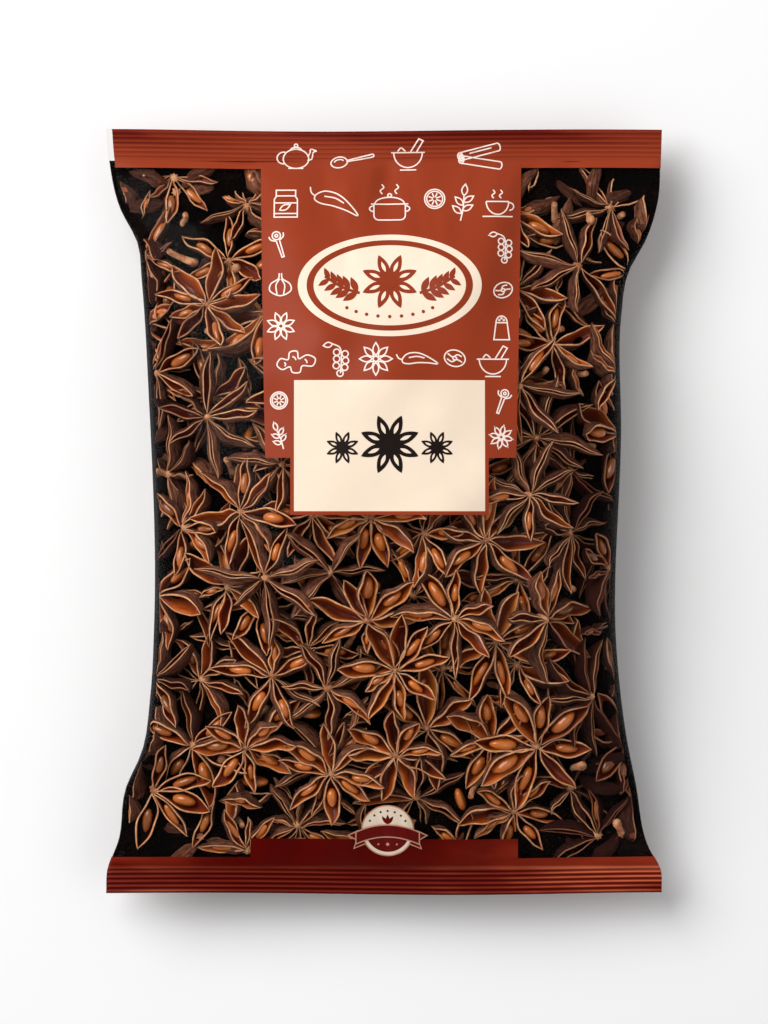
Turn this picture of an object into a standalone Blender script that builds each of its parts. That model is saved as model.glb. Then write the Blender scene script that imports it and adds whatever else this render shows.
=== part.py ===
"""A sealed pillow pack of star anise, lying on its back.

One tube of film is filled, crimped flat across both ends and closed by a fin seam down its back.
X runs across the pack, Y along it towards the top seal, and Z up through the printed front.
The origin is the centre of the surface that the pack lies on. Every size is in metres.
"""

import math
import random

import bpy
import numpy as np

# The bag as a whole.
LENGTH = 0.1915  # from the edge of one end seal to the edge of the other
SEAL_HALF_WIDTH = 0.0695  # half of the flat width, which the end seals keep
MIDDLE_HEIGHT = 0.0185  # of the line where front and back meet, halfway along the pack
SEAL_HEIGHT = 0.0135  # of the end seals, which hang free of the surface
FRONT_RISE = 0.0250  # of the front above the middle line
BACK_DROP = 0.0200  # of the back below the middle line, before the surface flattens it
FRONT_FULLNESS = 2.6  # power that keeps the height up towards the seals: the higher, the boxier
BACK_FULLNESS = 3.2
CROWN_POWER = 0.9
SIDE_POWER_MIDDLE = 0.40  # of the section halfway along the pack, where 0.5 is an ellipse
SIDE_POWER_BY_SEALS = 0.90  # of the section by the seals, where 1 is a lens with sharp sides
FLAT_POWER = 0.08  # of the section in the seals, which is nearly a rectangle
FLAT_BELOW = 0.006  # of the height at which the section starts to go over to the seals' rectangle
FILLED_FROM = 0.004  # of the height at which the pods start to show
FILLED_AT = 0.016

# The end seals: two films pressed into one corrugated strip.
SEAL_THICKNESS = 0.0006
RIDGE_PITCH = 0.00118
RIDGE_HEIGHT = 0.00028
TOP_RIDGES = 6
BOTTOM_RIDGES = 5
SEAL_DROOP = 0.15  # slope at which an end seal hangs down
EDGE_WAVE = 0.0006  # how far an end seal's edge wanders along Y
EDGE_WAVE_LENGTH = 0.0190  # for each radian of the wave
EDGE_WAVE_START = (-1.0, 0.9)  # in radians, at the top and at the bottom
EDGE_WAVE_FADE = 8
SEAL_RIPPLE = 0.0009  # how far an end seal waves up and down
RIPPLE_LENGTH = 0.0125
RIPPLE_START = (1.1, -0.8)
RIPPLE_FADE = 6

# The fin seam: both edges of the film sealed together and folded flat against the back.
FIN_LEFT = -0.0062
FIN_RIGHT = 0.0058
FIN_THICKNESS = 0.0005
FIN_FOLD = 0.0003  # how far the step at the fin's side is spread

# Half widths of the filled bag, as (Y, half width). The corners of the tube stand out as ears.
LEFT_OUTLINE = (
    (-0.0958, 0.0695),
    (-0.0900, 0.0692),
    (-0.0820, 0.0664),
    (-0.0690, 0.0646),
    (-0.0600, 0.0606),
    (-0.0460, 0.0584),
    (-0.0280, 0.0574),
    (0.0300, 0.0588),
    (0.0580, 0.0606),
    (0.0670, 0.0616),
    (0.0760, 0.0661),
    (0.0880, 0.0688),
    (0.0958, 0.0695),
)
RIGHT_OUTLINE = (
    (-0.0958, 0.0695),
    (-0.0900, 0.0692),
    (-0.0840, 0.0662),
    (-0.0680, 0.0630),
    (-0.0560, 0.0606),
    (-0.0360, 0.0582),
    (0.0200, 0.0592),
    (0.0500, 0.0594),
    (0.0590, 0.0608),
    (0.0690, 0.0660),
    (0.0780, 0.0686),
    (0.0880, 0.0692),
    (0.0958, 0.0695),
)

# How the film folds where it leaves an end seal.
FOLDS_PER_SEAL = 7
FOLD_SPREAD = 0.86  # of the half width, from the middle to the outermost folds
FOLD_SHIFT = 0.07
FOLD_LEAN = 0.35  # inwards, of the outermost folds
LEAN_SHIFT = 0.25
FOLD_START_WIDTH = 0.7  # by the seal, as a share of the width at the end of its reach
FOLD_DEPTH = (0.0012, 0.0028)
FOLD_WIDTH = (0.0042, 0.0070)
FOLD_REACH = (0.0080, 0.0150)
FRONT_FOLD_SEED = 12
BACK_FOLD_SEED = 13

# Where the pods inside press the film out.
LUMPS_PER_SHEET = 64
LUMP_SPREAD = 0.88  # of the half width and of the half length
LUMP_HEIGHT = (0.0005, 0.0013)
LUMP_RADIUS = (0.0060, 0.0095)
FRONT_LUMP_SEED = 31
BACK_LUMP_SEED = 32

# Fineness of the faceted solid.
COLUMNS_ACROSS_FRONT = 28
COLUMNS_BESIDE_FIN = 11
ROWS_ALONG_BODY = 38
ROWS_DRAWN_TO_SEALS = 0.6  # how much closer together the rows are by the seals, from 0 to 1

FILM_COLOUR = (0.20, 0.055, 0.022, 1.0)
FILM_ROUGHNESS = 0.32
SHARP_EDGE = math.radians(50)


def smooth_through(points, at):
    """A curve through the points, read at the given places: a cubic Hermite with averaged slopes."""
    x, y = np.array(points, float).T
    slope = np.gradient(y, x)
    i = np.clip(np.searchsorted(x, at) - 1, 0, len(x) - 2)
    step = x[i + 1] - x[i]
    t = np.clip((at - x[i]) / step, 0.0, 1.0)
    from_start = (1 + 2 * t) * (1 - t) ** 2 * y[i] + t * (1 - t) ** 2 * step * slope[i]
    from_end = t * t * (3 - 2 * t) * y[i + 1] - t * t * (1 - t) * step * slope[i + 1]
    return from_start + from_end


def smoothstep(low, high, value):
    """0 below low and 1 above high, with a smooth rise between them."""
    t = np.clip((value - low) / (high - low), 0.0, 1.0)
    return t * t * (3 - 2 * t)


def seal_lines():
    """Y of the lines where the top and the bottom crimping end and the filled body starts."""
    top = LENGTH / 2 - TOP_RIDGES * RIDGE_PITCH
    bottom = -LENGTH / 2 + BOTTOM_RIDGES * RIDGE_PITCH
    return top, bottom


def along_body(y):
    """Place along the filled body: 0 halfway between the seal lines, 1 at either of them and beyond."""
    top, bottom = seal_lines()
    return np.clip(np.abs(2 * y - top - bottom) / (top - bottom), 0.0, 1.0)


def middle_line(y):
    """Height of the line where front and back meet. It sinks towards the end seals."""
    top, bottom = seal_lines()
    place = along_body(y)
    droop = SEAL_DROOP * (np.maximum(y - top, 0) + np.maximum(bottom - y, 0))
    return MIDDLE_HEIGHT + (SEAL_HEIGHT - MIDDLE_HEIGHT) * place**2 - droop


def corrugation(y):
    """Zigzag of the crimping, which both faces of an end seal follow."""
    top, bottom = seal_lines()
    past = np.maximum(y - top, bottom - y)
    phase = np.maximum(past, 0) / RIDGE_PITCH
    return RIDGE_HEIGHT * (1 - np.abs(2 * (phase % 1.0) - 1)) * (past > 0)


def seal_ripple(x, y):
    """Slow wave of the end seals, which dies out inside the filled body."""
    fade = along_body(y) ** RIPPLE_FADE
    start = np.where(y > 0, *RIPPLE_START)
    return SEAL_RIPPLE * fade * np.sin(x / RIPPLE_LENGTH + start)


def edge_wander(x, y):
    """How far each end seal's edge wanders along Y, never past the pack's full length."""
    fade = along_body(y) ** EDGE_WAVE_FADE
    wave = 0.5 - 0.5 * np.sin(x / EDGE_WAVE_LENGTH + np.where(y > 0, *EDGE_WAVE_START))
    return -np.sign(y) * EDGE_WAVE * fade * wave


def make_folds(seed):
    """Creases that run from each end seal into the body, as (end, X, lean, width, reach, depth)."""
    draw = random.Random(seed)
    folds = []
    for end in (1, -1):
        for i in range(FOLDS_PER_SEAL):
            spread = (i + 0.5) / FOLDS_PER_SEAL * 2 - 1
            x = SEAL_HALF_WIDTH * (FOLD_SPREAD * spread + draw.uniform(-FOLD_SHIFT, FOLD_SHIFT))
            lean = -FOLD_LEAN * spread + draw.uniform(-LEAN_SHIFT, LEAN_SHIFT)
            width = draw.uniform(*FOLD_WIDTH)
            reach = draw.uniform(*FOLD_REACH)
            depth = draw.uniform(*FOLD_DEPTH)
            folds.append((end, x, lean, width, reach, depth))
    return folds


def fold_depth(x, y, folds):
    """How far the folds pull the film in. Each rises within its reach of the seal and then dies out."""
    top, bottom = seal_lines()
    depth = np.zeros(np.broadcast(x, y).shape)
    for end, start, lean, width, reach, most in folds:
        inside = np.maximum(top - y if end > 0 else y - bottom, 0.0)
        along = inside / reach
        centre = start + lean * inside
        across = (x - centre) / (width * (FOLD_START_WIDTH + (1 - FOLD_START_WIDTH) * along))
        depth = depth + most * along * np.exp(1 - along) * np.exp(-across * across)
    return depth


def make_lumps(seed):
    """Rounded swellings strewn over one sheet of the bag, as (X, Y, radius, height)."""
    draw = random.Random(seed)
    lumps = []
    for _ in range(LUMPS_PER_SHEET):
        x = draw.uniform(-LUMP_SPREAD, LUMP_SPREAD) * SEAL_HALF_WIDTH
        y = draw.uniform(-LUMP_SPREAD, LUMP_SPREAD) * LENGTH / 2
        lumps.append((x, y, draw.uniform(*LUMP_RADIUS), draw.uniform(*LUMP_HEIGHT)))
    return lumps


def lump_height(x, y, lumps):
    """How far the lumps push the film out: the sum of one bell for each."""
    height = np.zeros(np.broadcast(x, y).shape)
    for lump_x, lump_y, radius, most in lumps:
        away = ((x - lump_x) ** 2 + (y - lump_y) ** 2) / radius**2
        height = height + most * np.exp(-away)
    return height


def half_widths(x_share, y):
    """Half width on the side that x_share points to, from the left or the right outline."""
    left = smooth_through(LEFT_OUTLINE, y)
    right = smooth_through(RIGHT_OUTLINE, y)
    return np.where(x_share < 0, left, right)


def sheet_height(x_share, y, rise, fullness, folds, lumps):
    """Height of the front above the middle line, or depth of the back below it.

    Along the pack it is (1 - place ** fullness), to the crown's power. Across, it is a power of
    (1 - share ** 2) that goes from nearly an ellipse in the middle to a lens with sharp sides by
    the seals. The folds pull it in and the lumps push it out.
    """
    place = along_body(y)
    crown = rise * (1 - place**fullness) ** CROWN_POWER
    side_power = SIDE_POWER_MIDDLE + (SIDE_POWER_BY_SEALS - SIDE_POWER_MIDDLE) * place**4
    power = FLAT_POWER + (side_power - FLAT_POWER) * smoothstep(0.0, FLAT_BELOW, crown)
    round_side = np.maximum(1 - x_share**2, 0.0) ** power
    x = x_share * half_widths(x_share, y)
    inner = np.maximum(1 - x_share**2, 0.0) ** 0.5
    filled = smoothstep(FILLED_FROM, FILLED_AT, crown)
    relief = filled * lump_height(x, y, lumps) - fold_depth(x, y, folds)
    half_seal = SEAL_THICKNESS / 2 * np.maximum(1 - x_share**2, 0.0) ** FLAT_POWER
    return np.maximum(crown * round_side + inner * relief, 0.0) + half_seal


def film_point(x_share, y, height, side):
    """A point of the film: side is 1 on the front and -1 on the back."""
    x = x_share * half_widths(x_share, y)
    z = middle_line(y) + corrugation(y) + seal_ripple(x, y) + side * height
    return np.stack([x, y + edge_wander(x, y), z], axis=-1)


def front_surface(x_share, y):
    """The printed front."""
    folds = make_folds(FRONT_FOLD_SEED)
    lumps = make_lumps(FRONT_LUMP_SEED)
    height = sheet_height(x_share, y, FRONT_RISE, FRONT_FULLNESS, folds, lumps)
    return film_point(x_share, y, height, 1)


def back_surface(x_share, y):
    """The back, with the fin seam on it, flattened where it lies on the surface at height zero."""
    folds = make_folds(BACK_FOLD_SEED)
    lumps = make_lumps(BACK_LUMP_SEED)
    height = sheet_height(x_share, y, BACK_DROP, BACK_FULLNESS, folds, lumps)
    x = x_share * half_widths(x_share, y)
    on_fin = smoothstep(FIN_LEFT - FIN_FOLD, FIN_LEFT, x) * smoothstep(-FIN_RIGHT - FIN_FOLD, -FIN_RIGHT, -x)
    points = film_point(x_share, y, height + FIN_THICKNESS * on_fin, -1)
    points[..., 2] = np.maximum(points[..., 2], 0.0)
    return points


def row_places():
    """Y of every row of points: one at each crest and trough of the crimping, closer together by the seals."""
    top, bottom = seal_lines()
    top_rows = top + np.arange(2 * TOP_RIDGES + 1) * RIDGE_PITCH / 2
    bottom_rows = bottom - np.arange(2 * BOTTOM_RIDGES, -1, -1) * RIDGE_PITCH / 2
    turn = np.linspace(0, math.pi, ROWS_ALONG_BODY + 2)[1:-1]
    drawn = (1 - np.cos(turn)) / 2
    blend = ROWS_DRAWN_TO_SEALS * drawn + (1 - ROWS_DRAWN_TO_SEALS) * turn / math.pi
    return np.concatenate([bottom_rows, bottom + (top - bottom) * blend, top_rows])


def back_shares(y):
    """Places across the back in each row, as shares of the half width, with both sides of the fin on a column."""
    steps = np.sin(np.linspace(0, math.pi / 2, COLUMNS_BESIDE_FIN + 1))
    left_edge = smooth_through(LEFT_OUTLINE, y)
    right_edge = smooth_through(RIGHT_OUTLINE, y)
    fin_left = ((FIN_LEFT - FIN_FOLD) / left_edge)[:, None]
    fin_right = ((FIN_RIGHT + FIN_FOLD) / right_edge)[:, None]
    right = fin_right + (1 - fin_right) * steps[::-1][None, 1:-1]
    left = fin_left + (-1 - fin_left) * steps[None, 1:-1]
    fin = np.stack(
        [
            fin_right[:, 0],
            FIN_RIGHT / right_edge,
            np.zeros(len(y)),
            FIN_LEFT / left_edge,
            fin_left[:, 0],
        ],
        axis=1,
    )
    # From the left side to the right, so that the section closes behind the front's row.
    return np.concatenate([right, fin, left], axis=1)[:, ::-1]


def bag_points():
    """Closed sections of the bag, one for each row: across the front from right to left, then back again."""
    y = row_places()
    turn = np.linspace(0, math.pi, COLUMNS_ACROSS_FRONT + 1)
    front_share = np.broadcast_to(np.cos(turn), (len(y), len(turn)))
    back_share = back_shares(y)
    front = front_surface(front_share, y[:, None] + 0 * front_share)
    back = back_surface(back_share, y[:, None] + 0 * back_share)
    return np.concatenate([front, back], axis=1)


def bag_mesh(points):
    """Quads between neighbouring sections, and a cap across each end seal's edge."""
    rows, columns = points.shape[:2]
    corner = np.arange(rows * columns).reshape(rows, columns)
    after = np.roll(corner, -1, axis=1)
    sides = np.stack([corner[:-1], corner[1:], after[1:], after[:-1]], axis=-1)
    faces = sides.reshape(-1, 4).tolist()
    # An end cap is a strip between the front's points and those of the back that face them.
    for row, outward in ((0, True), (rows - 1, False)):
        ring = corner[row]
        front = ring[: COLUMNS_ACROSS_FRONT + 1]
        back = np.concatenate([[front[0]], ring[:COLUMNS_ACROSS_FRONT:-1], [front[-1]]])
        faces += strip_faces(front, back, points[row], row * columns, outward)
    mesh = bpy.data.meshes.new("pillow_pack")
    mesh.from_pydata(points.reshape(-1, 3).tolist(), [], faces)
    mesh.validate()
    return mesh


def strip_faces(front, back, points, first, outward):
    """Triangles between two rows of points that share their ends, taken in order of X."""
    faces = []
    front, back = front.tolist(), back.tolist()
    i = j = 0
    while i < len(front) - 1 or j < len(back) - 1:
        next_front = points[front[i + 1] - first][0] if i < len(front) - 1 else -math.inf
        next_back = points[back[j + 1] - first][0] if j < len(back) - 1 else -math.inf
        if next_front >= next_back:
            face = (front[i], front[i + 1], back[j])
            i += 1
        else:
            face = (front[i], back[j + 1], back[j])
            j += 1
        if len(set(face)) == 3:
            faces.append(face if outward else face[::-1])
    return faces


def film_material():
    """A plain brown-red film, as a stand-in for the finished look."""
    material = bpy.data.materials.new("printed_film")
    material.use_nodes = True
    shader = material.node_tree.nodes["Principled BSDF"]
    shader.inputs["Base Color"].default_value = FILM_COLOUR
    shader.inputs["Roughness"].default_value = FILM_ROUGHNESS
    shader.inputs["Metallic"].default_value = 0.0
    material.diffuse_color = FILM_COLOUR
    return material


def build_pack():
    """The closed solid of the whole bag."""
    mesh = bag_mesh(bag_points())
    mesh.shade_smooth()
    mesh.set_sharp_from_angle(angle=SHARP_EDGE)
    mesh.materials.append(film_material())
    pack = bpy.data.objects.new("pillow_pack", mesh)
    bpy.context.scene.collection.objects.link(pack)
    return pack


def clear_scene():
    for item in list(bpy.data.objects):
        bpy.data.objects.remove(item, do_unlink=True)


clear_scene()
build_pack()
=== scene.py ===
"""A sealed pillow pack of star anise: clear printed film, its wordless print, and the pods inside.

X runs across the pack, Y along it towards the top seal, and Z up through the printed front, which lies
uppermost. Every size is in metres. Each operator makes one piece or one group of like pieces.
"""

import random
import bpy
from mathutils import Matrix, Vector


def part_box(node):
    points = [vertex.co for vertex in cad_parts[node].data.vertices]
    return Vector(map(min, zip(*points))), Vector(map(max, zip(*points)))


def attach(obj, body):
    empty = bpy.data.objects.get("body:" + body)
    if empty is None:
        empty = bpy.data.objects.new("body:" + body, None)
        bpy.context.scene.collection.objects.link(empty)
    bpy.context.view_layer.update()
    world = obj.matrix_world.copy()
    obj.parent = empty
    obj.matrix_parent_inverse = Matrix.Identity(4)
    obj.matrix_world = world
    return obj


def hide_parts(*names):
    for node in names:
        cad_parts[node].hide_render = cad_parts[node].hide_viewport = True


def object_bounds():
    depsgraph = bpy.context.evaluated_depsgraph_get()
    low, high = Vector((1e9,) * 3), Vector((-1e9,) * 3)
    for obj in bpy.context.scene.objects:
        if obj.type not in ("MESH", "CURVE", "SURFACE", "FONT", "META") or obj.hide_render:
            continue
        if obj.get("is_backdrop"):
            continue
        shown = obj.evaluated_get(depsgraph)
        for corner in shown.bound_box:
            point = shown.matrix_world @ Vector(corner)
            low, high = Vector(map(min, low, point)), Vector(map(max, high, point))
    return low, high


bl_info = {
    "name": "Star anise pillow pack",
    "version": (1, 0, 0),
    "blender": (4, 5, 0),
    "location": "3D View > Sidebar > Star anise",
    "description": "Makes a clear printed pillow pack with star anise inside it",
    "category": "Add Mesh",
}

from functools import partial
from math import cos, degrees, inf, pi, radians, sin, tan

import bpy
import numpy as np

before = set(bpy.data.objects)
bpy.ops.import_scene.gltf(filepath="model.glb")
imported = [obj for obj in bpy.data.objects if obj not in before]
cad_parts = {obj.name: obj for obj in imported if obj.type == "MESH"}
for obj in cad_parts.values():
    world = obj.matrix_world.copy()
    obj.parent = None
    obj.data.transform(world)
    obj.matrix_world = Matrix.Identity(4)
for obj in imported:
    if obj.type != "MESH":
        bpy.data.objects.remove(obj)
CAD_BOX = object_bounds()
PACK_LOW, PACK_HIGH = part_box("pillow_pack")

MM = 0.001


def display(red, green, blue):
    """The linear colour that shows as these display values, from 0 to 255, by the sRGB curve."""
    shown = np.array([red, green, blue]) / 255
    linear = np.where(shown <= 0.04045, shown / 12.92, ((shown + 0.055) / 1.055) ** 2.4)
    return (*linear.tolist(), 1.0)


# ---- Settings ----


def length_setting(name, description, default):
    return setting(name, description, default, unit="LENGTH", precision=4)


def share_setting(name, description, default):
    return setting(name, description, default, max=1.0, subtype="FACTOR")


def power_setting(name, description, default):
    return setting(name, description, default, unit="POWER")


def setting(name, description, default, **options):
    return bpy.props.FloatProperty(name=name, description=description, default=default, min=0.0, **options)


def colour_setting(name, description, *shown):
    """A colour, whose default is given by its display values."""
    return bpy.props.FloatVectorProperty(
        name=name, description=description, default=display(*shown), size=4, min=0.0, max=1.0, subtype="COLOR"
    )


class FilmSettings(bpy.types.PropertyGroup):
    ridge_height: length_setting("Ridge height", "Height of the crimping across the end seals", 0.28 * MM)
    crease_depth: length_setting("Crease depth", "Depth of the fine creases by the end seals", 0.30 * MM)
    red: colour_setting("Red", "Colour of the label and of the upper band", 152, 58, 31)
    dark_red: colour_setting("Dark red", "Colour of the lower band", 90, 4, 1)
    # Painted sheen takes the lower band towards this colour.
    band_sheen: colour_setting("Band sheen", "Colour of the lower band where it is lightest", 152, 50, 28)
    glint: colour_setting("Glint", "Colour of the glints along the lower crimping", 214, 112, 78)
    cream: colour_setting("Cream", "Colour of the panel under the label", 248, 227, 204)
    roughness: share_setting("Roughness", "Roughness of the printed film", 0.36)


class PrintSettings(bpy.types.PropertyGroup):
    stroke: length_setting("Stroke", "Width of the lines of the small drawings", 0.34 * MM)
    line_ink: colour_setting("Line ink", "Colour of the small drawings", 255, 232, 220)
    dark_ink: colour_setting("Dark ink", "Colour of the stars on the cream panel", 28, 18, 14)
    badge_red: colour_setting("Badge red", "Colour of the ribbon on the badge", 104, 10, 6)
    badge_edge: colour_setting("Badge edge", "Colour of the edges of the badge", 214, 150, 124)


class PodSettings(bpy.types.PropertyGroup):
    span: length_setting("Span", "Usual distance across a star, from tip to tip", 30.0 * MM)
    wall: length_setting("Wall", "Thickness of a follicle's wall at its rim", 0.40 * MM)
    spacing: length_setting("Spacing", "Distance between the stars that lie against the film", 15.0 * MM)
    skin: colour_setting("Skin", "Colour of the outer skin", 168, 90, 60)
    # The dark skin colour is partly painted shade in the furrows, and the ridge colour partly painted
    # highlight.
    skin_dark: colour_setting("Dark skin", "Colour in the furrows of the outer skin", 66, 24, 15)
    ridge: colour_setting("Ridge", "Colour of the thin ridges on the outer skin", 238, 180, 142)
    rim: colour_setting("Rim", "Colour of the split edges", 246, 182, 132)
    lining: colour_setting("Lining", "Colour inside a follicle, near its edges", 224, 116, 42)
    lining_gold: colour_setting("Golden lining", "Colour inside the ripest follicles", 232, 154, 68)
    # Painted shade at the bottom of a follicle and by its hub takes the lining to this colour; darker
    # follicles use it too.
    lining_dark: colour_setting("Dark lining", "Colour at the bottom of a follicle", 104, 32, 12)
    seed: colour_setting("Seed", "Colour of the seeds", 224, 122, 46)


class StageSettings(bpy.types.PropertyGroup):
    floor: colour_setting("Floor", "Colour of the floor", 252, 252, 252)
    key_power: power_setting("Key power", "Power of the light from the upper left", 13.3)
    fill_power: power_setting("Fill power", "Power of the light from the lower right", 1.2)
    sky: share_setting("Sky", "Brightness of the even light from all round", 0.33)


# ---- Meshes ----


class Shape:
    """Points and faces gathered from several surfaces, which then become the mesh of one piece."""

    def __init__(self):
        self.points, self.faces, self.slots, self.places, self.tones = [], [], [], [], []
        self.count = 0

    def add(self, points, faces, slots=0, places=None, tones=0.5):
        """Adds points of shape (n, 3), and a list of arrays of faces with a material number for each."""
        points = np.asarray(points, float).reshape(-1, 3)
        slots = slots if isinstance(slots, (list, tuple)) else [slots] * len(faces)
        for corners, slot in zip(faces, slots):
            self.faces.append(corners + self.count)
            self.slots.append(np.broadcast_to(slot, len(corners)))
        self.points.append(points)
        self.places.append(np.zeros((len(points), 2)) if places is None else places.reshape(-1, 2))
        self.tones.append(np.broadcast_to(np.asarray(tones, float), len(points)))
        self.count += len(points)

    def mesh(self, name):
        """One smooth mesh, with the places as its UV map and the tones as an attribute."""
        mesh = bpy.data.meshes.new(name)
        points = np.concatenate(self.points)
        corners = np.concatenate([faces.ravel() for faces in self.faces])
        totals = np.concatenate([np.full(len(faces), faces.shape[1]) for faces in self.faces])
        mesh.vertices.add(len(points))
        mesh.vertices.foreach_set("co", points.astype(np.float32).ravel())
        mesh.loops.add(len(corners))
        mesh.loops.foreach_set("vertex_index", corners.astype(np.int32))
        mesh.polygons.add(len(totals))
        mesh.polygons.foreach_set("loop_start", (np.cumsum(totals) - totals).astype(np.int32))
        mesh.polygons.foreach_set("material_index", np.concatenate(self.slots).astype(np.int32))
        mesh.update(calc_edges=True)
        places = np.concatenate(self.places)[corners]
        mesh.uv_layers.new(name="place").uv.foreach_set("vector", places.astype(np.float32).ravel())
        tone = mesh.attributes.new("tone", "FLOAT", "POINT")
        tone.data.foreach_set("value", np.concatenate(self.tones).astype(np.float32))
        mesh.shade_smooth()
        return mesh


def add_object(name, data):
    """An object at the origin that holds the data, in the scene."""
    made = bpy.data.objects.new(name, data)
    bpy.context.scene.collection.objects.link(made)
    return made


def make_piece(name, shape, materials):
    """Puts a shape in the scene as one piece, which rides with the pack."""
    if name in bpy.data.objects:
        raise RuntimeError(f"{name} is already there")
    mesh = shape.mesh(name)
    for material in materials:
        mesh.materials.append(material)
    piece = add_object(name, mesh)
    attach(piece, "root")
    return piece


def quads(corner):
    """The quads between neighbouring rows and columns of a table of point numbers."""
    around = [corner[:-1, :-1], corner[:-1, 1:], corner[1:, 1:], corner[1:, :-1]]
    return np.stack(around, -1).reshape(-1, 4)


def numbered(rows, columns, start=0):
    """A table of point numbers, which go on row by row."""
    return start + np.arange(rows * columns).reshape(rows, columns)


def wrapped(rows, ring):
    """Quads of a grid whose last column meets its first one."""
    corner = numbered(rows, ring)
    return quads(np.concatenate([corner, corner[:, :1]], axis=1))


def tube_faces(rows, ring):
    """Quads and end triangles of a tube that closes on a point at each end, numbered after its rows."""
    corner = np.arange(ring)
    after = (corner + 1) % ring
    last_row = (rows - 1) * ring
    first_pole = np.full(ring, rows * ring)
    start = np.stack([first_pole, after, corner], -1)
    end = np.stack([last_row + corner, last_row + after, first_pole + 1], -1)
    return wrapped(rows, ring), np.concatenate([start, end])


def polar(x, y, wide, high, turn):
    """Points of an ellipse about (x, y), at the given angles in radians."""
    return np.stack([x + wide * np.cos(turn), y + high * np.sin(turn)], -1)


def smoothstep(low, high, value):
    """0 below low and 1 above high. Between them it is t * t * (3 - 2 t), where t goes from 0 to 1."""
    t = np.clip((value - low) / (high - low), 0.0, 1.0)
    return t * t * (3 - 2 * t)


def smooth_through(points, at):
    """A curve through the points, read at the given places: a cubic Hermite with averaged slopes."""
    x, y = np.array(points, float).T
    slope = np.gradient(y, x)
    i = np.clip(np.searchsorted(x, at) - 1, 0, len(x) - 2)
    step = x[i + 1] - x[i]
    t = np.clip((at - x[i]) / step, 0.0, 1.0)
    from_start = (1 + 2 * t) * (1 - t) ** 2 * y[i] + t * (1 - t) ** 2 * step * slope[i]
    from_end = t * t * (3 - 2 * t) * y[i + 1] - t * t * (1 - t) * step * slope[i + 1]
    return from_start + from_end


# ---- The film ----

LENGTH = PACK_HIGH.y - PACK_LOW.y  # from the edge of one end seal to the edge of the other
SEAL_HALF_WIDTH = (PACK_HIGH.x - PACK_LOW.x) / 2
MIDDLE_HEIGHT = 0.0185  # of the line where front and back meet, halfway along the pack
SEAL_HEIGHT = 0.0135  # of the end seals, which hang free of the surface
FRONT_RISE = 0.0250  # of the front above the middle line
BACK_DROP = 0.0200  # of the back below the middle line, before the surface flattens it
FRONT_FULLNESS = 2.6  # power that keeps the height up towards the seals: the higher, the boxier
BACK_FULLNESS = 3.2
CROWN_POWER = 0.9
SIDE_POWER_MIDDLE = 0.40  # of the section halfway along the pack, where 0.5 is an ellipse
SIDE_POWER_BY_SEALS = 0.90  # of the section by the seals, where 1 is a lens with sharp sides
FLAT_POWER = 0.08  # of the section in the seals, which is nearly a rectangle
FLAT_BELOW = 0.006  # of the height at which the section starts to go over to the seals' rectangle
FILLED_FROM = 0.004  # of the height at which the pods start to show
FILLED_AT = 0.016

SEAL_THICKNESS = 0.0006
SEAL_DROOP = 0.15  # slope at which an end seal hangs down
RIDGE_PITCH = 0.00118
TOP_RIDGES = 6
BOTTOM_RIDGES = 5
ROWS_PER_RIDGE = 8
EDGE_WAVE = 0.0006  # how far an end seal's edge wanders along Y
EDGE_WAVE_LENGTH = 0.0190  # for each radian of the wave
EDGE_WAVE_START = (-1.0, 0.9)  # in radians, at the top and at the bottom
EDGE_WAVE_FADE = 8
SEAL_RIPPLE = 0.0009  # how far an end seal waves up and down
RIPPLE_LENGTH = 0.0125
RIPPLE_START = (1.1, -0.8)
RIPPLE_FADE = 6

FIN_LEFT = -0.0062
FIN_RIGHT = 0.0058
FIN_THICKNESS = 0.0005
FIN_FOLD = 0.0003  # how far the step at the fin's side is spread
FIN_COLUMNS = 9

# Half widths of the filled bag at these Y. The corners of the tube stand out as ears.
LEFT_OUTLINE = tuple(zip(
    (-0.0958, -0.0900, -0.0820, -0.0690, -0.0600, -0.0460, -0.0280,
     0.0300, 0.0580, 0.0670, 0.0760, 0.0880, 0.0958),
    (0.0695, 0.0692, 0.0664, 0.0646, 0.0606, 0.0584, 0.0574,
     0.0588, 0.0606, 0.0616, 0.0661, 0.0688, 0.0695),
))  # fmt: skip
RIGHT_OUTLINE = tuple(zip(
    (-0.0958, -0.0900, -0.0840, -0.0680, -0.0560, -0.0360, 0.0200,
     0.0500, 0.0590, 0.0690, 0.0780, 0.0880, 0.0958),
    (0.0695, 0.0692, 0.0662, 0.0630, 0.0606, 0.0582, 0.0592,
     0.0594, 0.0608, 0.0660, 0.0686, 0.0692, 0.0695),
))  # fmt: skip

# How the film folds where it leaves an end seal. The lengths are drawn between two bounds.
FOLDS_PER_SEAL = 7
FOLD_SPREAD = 0.86  # of the half width, from the middle to the outermost folds
FOLD_SHIFT = 0.07
FOLD_LEAN = 0.35  # inwards, of the outermost folds
LEAN_SHIFT = 0.25
FOLD_START_WIDTH = 0.7  # by the seal, as a share of the width at the end of its reach
FOLD_WIDENING = 0.3
FOLD_DEPTH = (0.0012, 0.0028)
FOLD_WIDTH = (0.0042, 0.0070)
FOLD_REACH = (0.0080, 0.0150)

# Where the pods inside press the film out.
LUMPS_PER_SHEET = 64
LUMP_SPREAD = 0.88  # of the half width and of the half length
LUMP_HEIGHT = (0.0005, 0.0013)
LUMP_RADIUS = (0.0060, 0.0095)

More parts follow.
